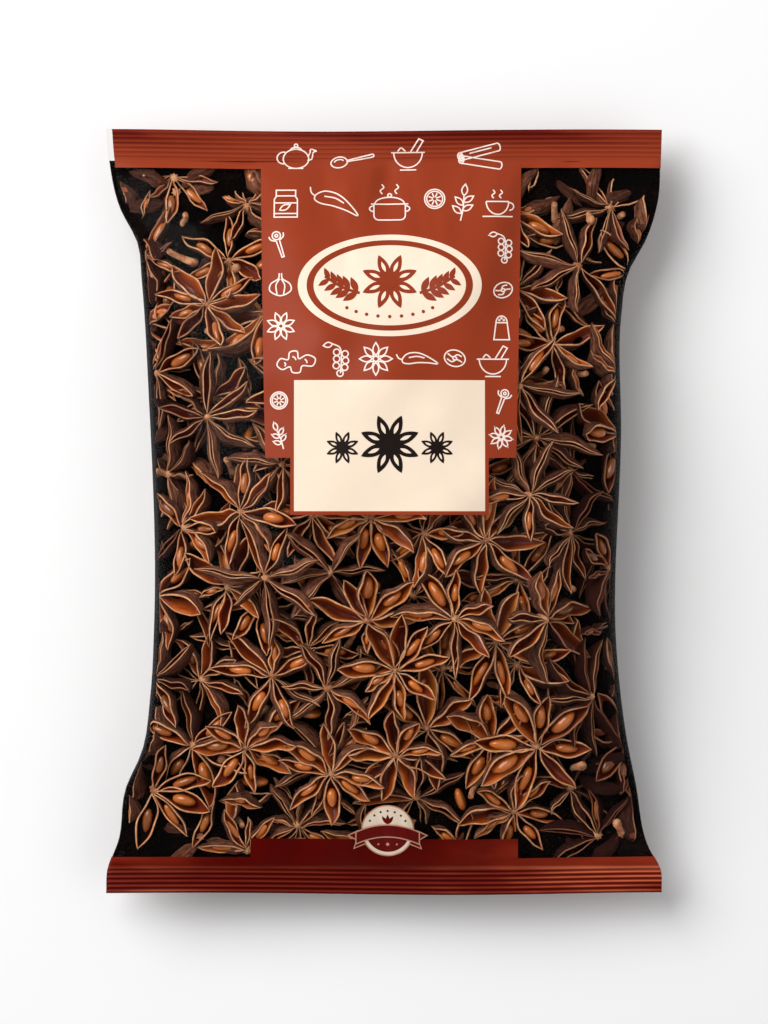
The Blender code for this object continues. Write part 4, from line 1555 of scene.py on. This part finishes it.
def streaks(tree, **values):
    """Furrows along a follicle, from noise stretched along the piece's own map and shifted by its tone."""

    def build(group, given):
        place = add_node(group, "UVMap", uv_map="place").outputs[0]
        parts = add_node(group, "SeparateXYZ", {0: place}).outputs
        tone = own_tone(group)
        factors = {0: (parts[0], given["Along"]), 1: (parts[1], given["Across"]), 2: (tone, TONE_SHIFT)}
        stretched = {axis: times(group, *pair) for axis, pair in factors.items()}
        vector = add_node(group, "CombineXYZ", stretched).outputs[0]
        mask = ramp(group, noise(group, vector, 1.0, 5.0, 0.65), 0.34, 0.66)
        return {"Mask": mask, "Tone": tone, "S": parts[0], "Side": sums(group, "ABSOLUTE", parts[1])}

    return use_group(tree, group_named("streaks", {"Along": 5.0, "Across": 14.0}, build), values)


def sheen(tree, **values):
    """Soft patches drawn out along X, as light lies on film that is pulled taut across."""

    def build(group, given):
        place = add_node(group, "TexCoord").outputs["Object"]
        vectors = {0: place, 1: SHEEN_STRETCH}
        drawn_out = add_node(group, "VectorMath", vectors, operation="MULTIPLY").outputs[0]
        cloud = noise(group, drawn_out, given["Scale"], 3.0, 0.5)
        parts = add_node(group, "SeparateXYZ", {0: place}).outputs
        return {"Mask": ramp(group, cloud, given["Low"], given["High"]), "X": parts[0], "Y": parts[1]}

    return use_group(tree, group_named("sheen", {"Scale": 60.0, "Low": 0.35, "High": 0.65}, build), values)


def use_group(tree, group, values):
    """The outputs of a node of that group, its inputs set by names in lower case."""
    inputs = {name.title(): value for name, value in values.items()}
    return add_node(tree, "Group", inputs, node_tree=group).outputs


def new_material(name, roughness, gloss=0.5, coat=0.0):
    """A material with one Principled shader, and its plain values set on the shader's own sockets."""
    material = bpy.data.materials.new(name)
    material.use_nodes = True
    values = {"Roughness": roughness, "Specular IOR Level": gloss}
    values |= {"Coat Weight": coat, "Coat Roughness": COAT_ROUGHNESS}
    for socket, value in values.items():
        material.node_tree.nodes["Principled BSDF"].inputs[socket].default_value = value
    return material, material.node_tree


def dress(material, colour, relief=None, distance=0.0, strength=1.0):
    """Links the colour to the material's shader, and the relief as a bump of that depth."""
    tree = material.node_tree
    inputs = tree.nodes["Principled BSDF"].inputs
    tree.links.new(colour, inputs["Base Color"])
    if relief is not None:
        tree.links.new(bump(tree, relief, distance, strength), inputs["Normal"])
    return material


def bump(tree, height, distance, strength):
    values = {"Height": height, "Distance": distance, "Strength": strength}
    return add_node(tree, "Bump", values).outputs[0]


def shade(colour, factor):
    """The colour made darker or lighter by a factor."""
    return (*(min(channel * factor, 1.0) for channel in colour[:3]), 1.0)


def darken_side_shaded(tree, colour, tone, dark):
    """Painted side shade: the colour taken most of the way to the dark one, in things whose tone goes past 1.
    """
    return blend_colours(tree, ramp(tree, tone, *SIDE_SHADE_TONES, 0.0, MOST_SIDE_SHADE), colour, dark)


def skin_material(pods):
    """Dull furrowed skin, each follicle with its own tone: dark in the furrows, partly the skin's own colour
    and partly painted shade, and pale on thin ridges, partly their own colour and partly painted highlight,
    with painted side shade by the bag's sides.
    """
    material, tree = new_material("follicle_skin", roughness=0.70, gloss=0.15)
    furrows = streaks(tree, along=4.0, across=8.0)
    ridges = streaks(tree, along=3.0, across=26.0)["Mask"]
    patches = mottle(tree, scale=520.0, low=0.34, high=0.66)
    # Darker where the bump is low: partly the skin's own colour, partly painted shade in the furrows.
    share = plus(tree, times(tree, furrows["Mask"], 0.65), times(tree, patches, 0.35))
    colour = blend_colours(tree, share, pods.skin_dark[:], pods.skin[:])
    # Pale thin ridges on the raised furrows: partly their own colour, partly painted highlight.
    colour = blend_colours(tree, times(tree, ridges, furrows["Mask"], 0.65), colour, pods.ridge[:])
    colour = blend_colours(tree, times(tree, furrows["Tone"], 0.55), colour, shade(pods.skin_dark, 0.9))
    # Painted side shade on stars by the bag's sides.
    colour = darken_side_shaded(tree, colour, furrows["Tone"], shade(pods.skin_dark, 0.7))
    return dress(material, colour, plus(tree, share, times(tree, ridges, 0.35)), 0.6 * MM)


def rim_material(pods):
    """Pale fibrous split edges, browner in patches, with painted side shade on stars by the bag's sides."""
    material, tree = new_material("split_edge", roughness=0.66, gloss=0.25)
    fibres = streaks(tree, along=9.0, across=5.0)
    patches = mottle(tree, scale=260.0, low=0.38, high=0.72)
    colour = blend_colours(tree, times(tree, fibres["Mask"], 0.7), pods.rim[:], shade(pods.rim, 0.50))
    colour = blend_colours(tree, times(tree, patches, 0.65), colour, pods.skin[:])
    # Painted side shade.
    colour = darken_side_shaded(tree, colour, fibres["Tone"], shade(pods.skin, 0.40))
    return dress(material, colour, fibres["Mask"], 0.12 * MM, 0.6)


def lining_material(pods):
    """Smooth shining inside of a follicle: orange brown near the lips, with painted shade that takes it to
    dark red brown at the bottom and by the hub. Some follicles are golden and some darker, with painted side
    shade by the bag's sides.
    """
    material, tree = new_material("follicle_lining", roughness=0.34, gloss=0.35)
    veins = streaks(tree, along=4.0, across=3.0)
    # Painted shade: dark at the bottom of the hollow and by the hub, lighter towards the lips and the beak,
    # with veins of its own.
    by_lips = ramp(tree, veins["Side"], 0.10, 0.95)
    past_hub = ramp(tree, veins["S"], 0.0, 0.45, 0.45, 1.0)
    light = times(tree, by_lips, past_hub, ramp(tree, veins["Mask"], 0.0, 1.0, 0.55, 1.0))
    colour = blend_colours(tree, light, pods.lining_dark[:], pods.lining[:])
    ripe = times(tree, ramp(tree, veins["Tone"], 0.45, 0.0), light, 0.75)
    colour = blend_colours(tree, ripe, colour, pods.lining_gold[:])
    # Darker follicles by their random tone, and painted side shade where the tone goes past 1.
    age_and_side_shade = times(tree, ramp(tree, veins["Tone"], 0.45, 1.0), 0.6)
    colour = blend_colours(tree, age_and_side_shade, colour, shade(pods.lining_dark, 1.3))
    # Painted side shade.
    colour = darken_side_shaded(tree, colour, veins["Tone"], shade(pods.lining_dark, 0.6))
    return dress(material, colour, veins["Mask"], 0.10 * MM, 0.5)


def seed_material(pods):
    """Hard shining seeds, some redder than others, with painted shade that darkens each from the middle of
    its side towards its edges, and painted side shade by the bag's sides.
    """
    material, tree = new_material("seed_coat", roughness=0.20, coat=0.35)
    patches = mottle(tree, scale=240.0, low=0.30, high=0.75)
    sides = streaks(tree, along=2.0, across=2.0)
    share = times(tree, plus(tree, patches, sides["Tone"]), 0.36)
    # Painted shade towards the seed's edges.
    share = plus(tree, share, ramp(tree, sides["Side"], 0.35, 0.95, 0.0, 0.6), clamp=True)
    colour = blend_colours(tree, share, pods.seed[:], shade(pods.seed, 0.30))
    # Painted side shade on seeds by the bag's sides.
    return dress(material, darken_side_shaded(tree, colour, sides["Tone"], shade(pods.seed, 0.20)))


def wood_material(pods):
    """Fibrous wood of the hubs and stalks."""
    material, tree = new_material("dry_wood", roughness=0.74, gloss=0.20)
    fibres = streaks(tree, along=3.0, across=6.0)["Mask"]
    patches = mottle(tree, scale=500.0, low=0.35, high=0.70)
    colour = blend_colours(tree, patches, shade(pods.rim, 0.85), shade(pods.skin, 0.9))
    return dress(material, colour, plus(tree, fibres, patches), 0.15 * MM, 0.7)


def core_shade_material():
    """Painted shade: a near-black sheet that stands for the unlit depth of the heap."""
    material, tree = new_material("heap_painted_shade", roughness=0.95, gloss=0.05)
    patches = mottle(tree, scale=160.0, low=0.35, high=0.75)
    colour = blend_colours(tree, patches, display(4, 2, 2), display(20, 9, 6))
    return dress(material, colour, patches, 1.5 * MM)


def clear_film_material():
    """Clear film: what lies behind shows through it, and it shines more where it is seen aslant."""
    material = bpy.data.materials.new("clear_film")
    material.use_nodes = True
    tree = material.node_tree
    tree.nodes.remove(tree.nodes["Principled BSDF"])
    clear = add_node(tree, "BsdfTransparent", {"Color": CLEARNESS})
    normal = bump(tree, mottle(tree, scale=90.0, low=0.30, high=0.70), 0.10 * MM, 0.5)
    mirror = {"Color": WHITE, "Roughness": MIRROR_ROUGHNESS, "Normal": normal}
    gloss = add_node(tree, "BsdfGlossy", mirror)
    fresnel = add_node(tree, "Fresnel", {"IOR": FILM_INDEX, "Normal": normal})
    share = sums(tree, "MINIMUM", times(tree, fresnel.outputs[0], FILM_SHINE), MOST_FILM_SHINE)
    mixed = add_node(tree, "MixShader", {0: share, 1: clear.outputs[0], 2: gloss.outputs[0]})
    tree.links.new(mixed.outputs[0], tree.nodes["Material Output"].inputs["Surface"])
    return material


def printed_material(name, colour, film, crimped=True):
    """Ink on film, faintly cloudy. Where it is crimped, painted shade darkens the troughs of the crimping and
    patches by the upper edge.
    """
    material, tree = new_material(name, roughness=film.roughness, gloss=0.10)
    patches = mottle(tree, scale=70.0, low=0.25, high=0.75)
    ink = blend_colours(tree, times(tree, patches, 0.5), tuple(colour), shade(colour, 0.90))
    if crimped:
        taut = sheen(tree, scale=80.0, low=0.35, high=0.62)
        # Painted shade in patches by the upper edge.
        edge_shade = ramp(tree, taut["Y"], RED_EDGE * LENGTH / 2, LENGTH / 2)
        cloudy = plus(tree, times(tree, taut["Mask"], 0.5), 0.45)
        ink = blend_colours(tree, times(tree, edge_shade, cloudy), ink, shade(film.dark_red, 1.15))
        # Painted shade in the troughs of the crimping, deeper towards the upper edge.
        trough_shade = sums(tree, "SUBTRACT", 1.0, ramp(tree, own_tone(tree), 0.1, 0.9))
        deeper = ramp(tree, taut["Y"], RED_TROUGHS * LENGTH / 2, LENGTH / 2, 0.15, 0.95)
        ink = blend_colours(tree, times(tree, trough_shade, deeper, cloudy), ink, shade(film.dark_red, 0.7))
    return dress(material, ink, patches, 0.08 * MM, 0.5)


def dark_band_material(film):
    """The lower band's ink, with painted sheen that lightens it towards the left end and more so to the
    right, so that it is darkest in the middle.

    Thin painted glints run along the crests of the crimping and along the fold above it, brightest by the
    ends, and painted shade darkens the troughs.
    """
    material, tree = new_material("dark_red_band", roughness=film.roughness, gloss=0.04)
    taut = sheen(tree, scale=70.0, low=0.36, high=0.62)
    # Painted sheen, strongest towards the ends.
    right = ramp(tree, taut["X"], 0.0, 0.8 * SEAL_HALF_WIDTH, 0.0, 0.75)
    left = ramp(tree, taut["X"], -0.50 * SEAL_HALF_WIDTH, -SEAL_HALF_WIDTH, 0.0, 0.5)
    ends = sums(tree, "MAXIMUM", left, right)
    patches = plus(tree, times(tree, taut["Mask"], 0.8), 0.2)
    light = times(tree, plus(tree, ends, 0.03), patches)
    ink = blend_colours(tree, light, film.dark_red[:], film.band_sheen[:])
    bottom = seal_lines()[1]
    off_fold = sums(tree, "ABSOLUTE", sums(tree, "SUBTRACT", taut["Y"], bottom + FOLD_WIDE))
    fold = ramp(tree, off_fold, 0.0, FOLD_WIDE, 1.0, 0.0)
    tone = own_tone(tree)
    in_crimping = ramp(tree, taut["Y"], bottom, bottom + 0.3 * MM, 1.0, 0.0)
    crest = times(tree, ramp(tree, tone, 0.55, 1.0), in_crimping)
    # Painted glints on the crests and along the fold.
    glint = times(tree, sums(tree, "MAXIMUM", fold, crest), plus(tree, ends, 0.12), patches)
    ink = blend_colours(tree, glint, ink, film.glint[:])
    # Painted shade in the troughs of the crimping.
    trough_shade = times(tree, sums(tree, "SUBTRACT", 1.0, ramp(tree, tone, 0.05, 0.5)), 0.75)
    ink = blend_colours(tree, trough_shade, ink, shade(film.dark_red, 0.30))
    return dress(material, ink, taut["Mask"], 0.08 * MM, 0.5)


def ink_materials():
    """The inks of the printed marks, in the order of their numbers."""
    film, inks = bpy.context.scene.anise_film, bpy.context.scene.anise_print
    colours = {
        "line_ink": inks.line_ink,
        "red_ink": shade(film.red, 0.92),
        "cream_ink": film.cream,
        "dark_ink": inks.dark_ink,
        "badge_ink": inks.badge_red,
        "edge_ink": inks.badge_edge,
    }
    return [
        bpy.data.materials.get(name) or printed_material(name, colour, film, crimped=False)
        for name, colour in colours.items()
    ]


def star_materials():
    """The materials of the stars and of what has come off them, in the order of their numbers."""
    pods = bpy.context.scene.anise_pods
    makers = {
        "follicle_skin": skin_material,
        "split_edge": rim_material,
        "follicle_lining": lining_material,
        "seed_coat": seed_material,
        "dry_wood": wood_material,
    }
    return [bpy.data.materials.get(name) or make(pods) for name, make in makers.items()]


# ---- Operators ----

CORE_ROWS = 60
CORE_COLUMNS = 40  # over each side
CORE_LENGTH = 0.99  # of the body between the seals
CORE_WIDTH = 0.998
WIDE_OPEN_SHARE = 0.5  # of the front stars
WIDE_OPEN_GAPE = (0.7, 1.0)
HALF_OPEN_GAPE = (0.05, 0.60)
BACK_GAPE = (0.3, 1.0)
FRONT_SIZE = (0.86, 1.10)  # of the usual span
FILLING_SIZE = (0.80, 1.0)
BACK_SIZE = (0.86, 1.08)
FRONT_LEAN = 0.26  # radians, the spread of the usual leans
FILLING_LEAN = 0.5
BACK_LEAN = 0.35
USUAL_LEAN_SHARE = 0.86  # of the front stars, and the rest lean steeply
STEEP_LEAN = (0.5, 1.1)
FRONT_DEEPEST, FILLING_DEEPEST, BACK_DEEPEST = 8 * MM, 14 * MM, 12 * MM
FILLING_SHIFT = 6 * MM
BACK_SPACING = 1.3  # of the front's
BACK_STALKS = 0.2  # share of the back stars
# How far apart each kind of loose piece is laid, and how deep it may lie.
LOOSE_FOLLICLES, LOOSE_SEEDS, LOOSE_STALKS = (12 * MM, 12 * MM), (26 * MM, 10 * MM), (15 * MM, 9 * MM)
LOOSE_LEAN = (0.0, 1.3)
LOOSE_SPAN = (0.8, 1.05)
LOOSE_GAPE = (0.2, 1.0)
LOOSE_GAP = (2, 0.7)  # reach and least share of the gaps that loose follicles fill
SEED_SIZES = np.array([3.6, 1.5, 2.4])  # in millimetres
SEED_ROWS, SEED_RING = 7, 12
SIDE_PLACES = np.arange(-0.40, 0.41, 0.05)  # of the length, for the follicles along the sides
SIDE_INSET = 2.5 * MM
SIDE_SHIFT = 2 * MM
SIDE_LEAN, SIDE_RISE = 0.4, 0.3  # of the way they face, along Y and up
SIDE_SPIN = (1.2, 1.9)
KEY_PLACE, KEY_SIZE = (-0.60, 0.50, 0.84), 0.90
FILL_PLACE, FILL_SIZE = (0.60, -0.30, 0.80), 0.70
FLOOR_HALF, FLOOR_POINTS, FLOOR_GAP = 2.0, 9, 0.3 * MM
LENS, SENSOR = 220.0, 36.0  # in millimetres
VIEW_SHARE = 1.3368  # of the pack's length, that the view is high
NEAREST, FARTHEST = 0.1, 10.0

bag = {}  # what one operator leaves for the next: the rooms of the bag, and the random numbers


def require(name):
    if name not in bpy.data.objects:
        raise RuntimeError(f"make {name} first")


def lay_print(name, draw):
    """Makes one piece of print from a function that lays its marks."""
    require("film")
    marks = Print()
    draw(marks)
    make_piece(name, marks.shape, ink_materials())
    return {"FINISHED"}


class MakeFilm(bpy.types.Operator):
    """Make the tube of clear film with its printed fields, crimped seals and back seam"""

    bl_idname = "anise.make_film"
    bl_label = "Film"

    def execute(self, context):
        film = context.scene.anise_film
        materials = [
            clear_film_material(),
            printed_material("red_film", film.red, film),
            dark_band_material(film),
            printed_material("cream_film", film.cream, film),
        ]
        piece = make_piece("film", film_shape(), materials)
        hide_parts("pillow_pack")
        return {"FINISHED"}


class MakeOval(bpy.types.Operator):
    """Print the cream oval with its ring and its leafy emblem"""

    bl_idname = "anise.make_oval"
    bl_label = "Oval"

    def execute(self, context):
        return lay_print("oval_print", draw_oval)


class MakePanelStars(bpy.types.Operator):
    """Print the dark stars on the cream panel"""

    bl_idname = "anise.make_panel_stars"
    bl_label = "Panel stars"

    def execute(self, context):
        return lay_print("panel_print", draw_panel)


class MakeLabelDrawings(bpy.types.Operator):
    """Print the small line drawings of kitchen things and spices round the oval"""

    bl_idname = "anise.make_label_drawings"
    bl_label = "Label drawings"

    def execute(self, context):
        width = context.scene.anise_print.stroke / MM

        def draw(marks):
            for name, x, y, angle, size in LABEL_DRAWINGS:
                for stroke in moved(DRAWINGS[name], x, y, angle, size):
                    marks.stroke(stroke, width, LINE_INK, RING_LIFT)

        return lay_print("label_print", draw)


class MakeBadge(bpy.types.Operator):
    """Print the wordless badge on the lower band"""

    bl_idname = "anise.make_badge"
    bl_label = "Badge"

    def execute(self, context):
        return lay_print("badge_print", draw_badge)


class MakeCore(bpy.types.Operator):
    """Make the dark body that the outer stars lie on, a sheet of painted shade for the unlit depth of the
    heap
    """

    bl_idname = "anise.make_core"
    bl_label = "Core"

    def execute(self, context):
        """The film's own front and back, drawn in by the core's depth."""
        top, bottom = seal_lines()
        turn = np.linspace(0, pi, CORE_ROWS)
        column = np.arange(2 * CORE_COLUMNS)
        y = (bottom + top) / 2 - (top - bottom) / 2 * CORE_LENGTH * np.cos(turn)[:, None]
        share = CORE_WIDTH * np.cos(column * pi / CORE_COLUMNS)[None]
        over = column[None] <= CORE_COLUMNS
        y, share = np.broadcast_arrays(y, share)
        front, back = front_surface(share, y), back_surface(share, y)
        drawn_in = core_depth(front[..., 2] - back[..., 2])
        points = np.where(over[..., None], front, back)
        points[..., 2] += np.where(over, -drawn_in, drawn_in)
        points = np.concatenate([points.reshape(-1, 3), points[[0, -1]].mean(1)])
        shape = Shape()
        shape.add(points, [faces[:, ::-1] for faces in tube_faces(CORE_ROWS, 2 * CORE_COLUMNS)])
        make_piece("core", shape, [core_shade_material()])
        return {"FINISHED"}


class PackFrontStars(bpy.types.Operator):
    """Lay the stars that press against the front film, wide open ones and half open ones"""

    bl_idname = "anise.pack_front_stars"
    bl_label = "Front stars"

    def execute(self, context):
        pods = context.scene.anise_pods
        rng = np.random.default_rng(PACKING_SEED)
        x, y, front, back, inside = bag_heights()
        room = Room(x, y, front - FILM_GAP, front - core_depth(front - back), inside)
        bag.update(room=room, rng=rng, x=x, y=y, front=front, back=back, inside=inside)
        wide_open, half_open = Shape(), Shape()
        for place in strewn(rng, x, y, pods.spacing, keep_clear=True):
            shape = wide_open if rng.random() < WIDE_OPEN_SHARE else half_open
            gape = rng.uniform(*(WIDE_OPEN_GAPE if shape is wide_open else HALF_OPEN_GAPE))
            span = pods.span * rng.uniform(*FRONT_SIZE)
            usual = rng.random() < USUAL_LEAN_SHARE
            lean = abs(rng.normal(0, FRONT_LEAN)) if usual else rng.uniform(*STEEP_LEAN)
            star = partial(grow_star, rng, span, gape, FINE)
            pack_in(shape, room, rng, place, star, lean, FRONT_DEEPEST)
        make_piece("wide_open_stars", wide_open, star_materials())
        make_piece("half_open_stars", half_open, star_materials())
        return {"FINISHED"}


class PackFillingStars(bpy.types.Operator):
    """Lay more stars where the film is still bare, each in the widest gap that is left"""

    bl_idname = "anise.pack_filling_stars"
    bl_label = "Filling stars"

    def execute(self, context):
        require("wide_open_stars")
        pods = context.scene.anise_pods
        room, rng = bag["room"], bag["rng"]
        shape = Shape()
        for place in places_in(room):
            span = pods.span * rng.uniform(*FILLING_SIZE)
            gape = rng.uniform(0.0, 1.0)
            lean = abs(rng.normal(0, FILLING_LEAN))
            star = partial(grow_star, rng, span, gape, PLAIN)
            pack_in(shape, room, rng, place, star, lean, FILLING_DEEPEST, FILLING_SHIFT)
        make_piece("filling_stars", shape, star_materials())
        return {"FINISHED"}


class ScatterLoosePieces(bpy.types.Operator):
    """Lay single follicles, seeds and stalks among the stars"""

    bl_idname = "anise.scatter_loose_pieces"
    bl_label = "Loose pieces"

    def execute(self, context):
        require("filling_stars")
        pods = context.scene.anise_pods
        room, rng = bag["room"], bag["rng"]

        def follicle():
            span = pods.span * rng.uniform(*LOOSE_SPAN)
            return grow_star(rng, span, rng.uniform(*LOOSE_GAPE), PLAIN, count=1)

        def seed():
            ball = ellipsoid(SEED_ROWS, SEED_RING) * SEED_SIZES * MM * rng.uniform(0.85, 1.1)
            return [(ball, tube_faces(SEED_ROWS, SEED_RING), [SEED, SEED], ball[:, :2] / MM, rng.random())]

        def stalk():
            return [stalk_part(rng, 0.0)]

        for name, grow, (spacing, deepest) in (
            ("loose_follicles", follicle, LOOSE_FOLLICLES),
            ("loose_seeds", seed, LOOSE_SEEDS),
            ("loose_stalks", stalk, LOOSE_STALKS),
        ):
            shape = Shape()
            places = strewn(rng, bag["x"], bag["y"], spacing, keep_clear=True)
            for place in places_in(room, places, *LOOSE_GAP) if grow is follicle else reversed(places):
                pack_in(shape, room, rng, place, grow, rng.uniform(*LOOSE_LEAN), deepest)
            if grow is follicle:
                self.line_sides(rng, grow, shape)
            make_piece(name, shape, star_materials())
        return {"FINISHED"}

    def line_sides(self, rng, grow, shape):
        """Follicles on edge along both sides of the bag, where front and back meet."""
        for side in (-1, 1):
            for y in SIDE_PLACES * LENGTH + rng.uniform(-1, 1, len(SIDE_PLACES)) * SIDE_SHIFT:
                wide = half_widths(np.array(side), y)
                outwards = np.array([side, rng.uniform(-SIDE_LEAN, SIDE_LEAN), SIDE_RISE])
                matrix = facing(outwards, rng.uniform(*SIDE_SPIN))
                place = np.array([side * (wide - SIDE_INSET), y, middle_line(y)])
                for points, *rest, tones in grow():
                    pressed = pressed_in((points - points.mean(0)) @ matrix.T + place)
                    # Follicles by the sides get painted shade through their tone.
                    shape.add(pressed, *rest, tones + side_shade_at(pressed))


class PackBackStars(bpy.types.Operator):
    """Lay the stars that press against the back film, in a room turned over about the Y axis"""

    bl_idname = "anise.pack_back_stars"
    bl_label = "Back stars"

    def execute(self, context):
        require("loose_seeds")
        pods = context.scene.anise_pods
        rng = bag["rng"]
        x = -bag["x"][::-1]
        film, depth = -bag["back"][:, ::-1], core_depth(bag["front"] - bag["back"])[:, ::-1]
        room = Room(x, bag["y"], film - FILM_GAP, film - depth, bag["inside"][:, ::-1], True)
        shape = Shape()
        for place in places_in(room, strewn(rng, x, bag["y"], pods.spacing * BACK_SPACING)):
            span = pods.span * rng.uniform(*BACK_SIZE)
            gape = rng.uniform(*BACK_GAPE)
            stalk = rng.random() < BACK_STALKS
            lean = abs(rng.normal(0, BACK_LEAN))
            star = partial(grow_star, rng, span, gape, PLAIN, stalk)
            pack_in(shape, room, rng, place, star, lean, BACK_DEEPEST)
        make_piece("back_stars", shape, star_materials())
        return {"FINISHED"}


class MakeStage(bpy.types.Operator):
    """Make the pale floor, the soft lights and the camera that looks straight down on the pack"""

    bl_idname = "anise.make_stage"
    bl_label = "Stage"

    def execute(self, context):
        stage = context.scene.anise_stage
        self.make_floor(stage)
        self.make_light("key_light", KEY_PLACE, KEY_SIZE, stage.key_power)
        self.make_light("fill_light", FILL_PLACE, FILL_SIZE, stage.fill_power)
        world = bpy.data.worlds.new("even_light")
        world.use_nodes = True
        even = world.node_tree.nodes["Background"].inputs
        even["Color"].default_value = WHITE
        even["Strength"].default_value = stage.sky
        context.scene.world = world
        self.make_camera(context)
        context.scene.view_settings.view_transform = "Standard"
        return {"FINISHED"}

    def make_floor(self, stage):
        """A flat grid just under the surface that the pack lies on."""
        across = np.linspace(-FLOOR_HALF, FLOOR_HALF, FLOOR_POINTS)
        x, y = np.meshgrid(across, across)
        shape = Shape()
        points = np.stack([x, y, np.full_like(x, PACK_LOW.z - FLOOR_GAP)], -1)
        shape.add(points, [quads(numbered(FLOOR_POINTS, FLOOR_POINTS))])
        material, tree = new_material("pale_floor", roughness=0.85, gloss=0.2)
        patches = mottle(tree, scale=9.0, low=0.2, high=0.8)
        dress(material, blend_colours(tree, patches, stage.floor[:], shade(stage.floor, 0.985)))
        mesh = shape.mesh("floor")
        mesh.materials.append(material)
        add_object("floor", mesh)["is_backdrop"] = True

    def make_light(self, name, place, size, power):
        """A square soft light, turned towards the middle of the pack."""
        light = bpy.data.lights.new(name, "AREA")
        light.size = size
        light.energy = power
        lamp = add_object(name, light)
        lamp.location = place
        lamp.rotation_euler = (-lamp.location).to_track_quat("-Z", "Y").to_euler()

    def make_camera(self, context):
        """A long lens straight above, so far off that the view's height is a third more than the pack's."""
        camera = bpy.data.cameras.new("camera")
        camera.lens, camera.sensor_width = LENS, SENSOR
        camera.clip_start, camera.clip_end = NEAREST, FARTHEST
        eye = add_object("camera", camera)
        eye.location = (0.0, 0.0, SEAL_HEIGHT + LENGTH * VIEW_SHARE * LENS / SENSOR)
        context.scene.camera = eye


class AnisePanel(bpy.types.Panel):
    """Lists the settings and the steps"""

    bl_idname = "ANISE_PT_pack"
    bl_label = "Star anise pack"
    bl_space_type = "VIEW_3D"
    bl_region_type = "UI"
    bl_category = "Star anise"

    def draw(self, context):
        for settings in SETTINGS:
            group = getattr(context.scene, settings)
            box = self.layout.box()
            for name in group.bl_rna.properties.keys():
                if name not in ("rna_type", "name"):
                    box.prop(group, name)
        for operator in STEPS:
            self.layout.operator(operator.bl_idname)


STEPS = (
    MakeFilm,
    MakeOval,
    MakePanelStars,
    MakeLabelDrawings,
    MakeBadge,
    MakeCore,
    PackFrontStars,
    PackFillingStars,
    ScatterLoosePieces,
    PackBackStars,
    MakeStage,
)
SETTINGS = {
    "anise_film": FilmSettings,
    "anise_print": PrintSettings,
    "anise_pods": PodSettings,
    "anise_stage": StageSettings,
}


def register():
    for cls in (*SETTINGS.values(), *STEPS, AnisePanel):
        bpy.utils.register_class(cls)
    for name, cls in SETTINGS.items():
        setattr(bpy.types.Scene, name, bpy.props.PointerProperty(type=cls))


def unregister():
    for name in SETTINGS:
        delattr(bpy.types.Scene, name)
    for cls in (AnisePanel, *reversed(STEPS), *reversed(SETTINGS.values())):
        bpy.utils.unregister_class(cls)


def main():
    """Registers the classes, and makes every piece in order."""
    register()
    for operator in STEPS:
        group, name = operator.bl_idname.split(".")
        getattr(getattr(bpy.ops, group), name)()
    boxes = {"cad": CAD_BOX, "visual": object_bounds()}
    sizes = {name: [list(corner) for corner in box] for name, box in boxes.items()}


if __name__ == "__main__":
    main()
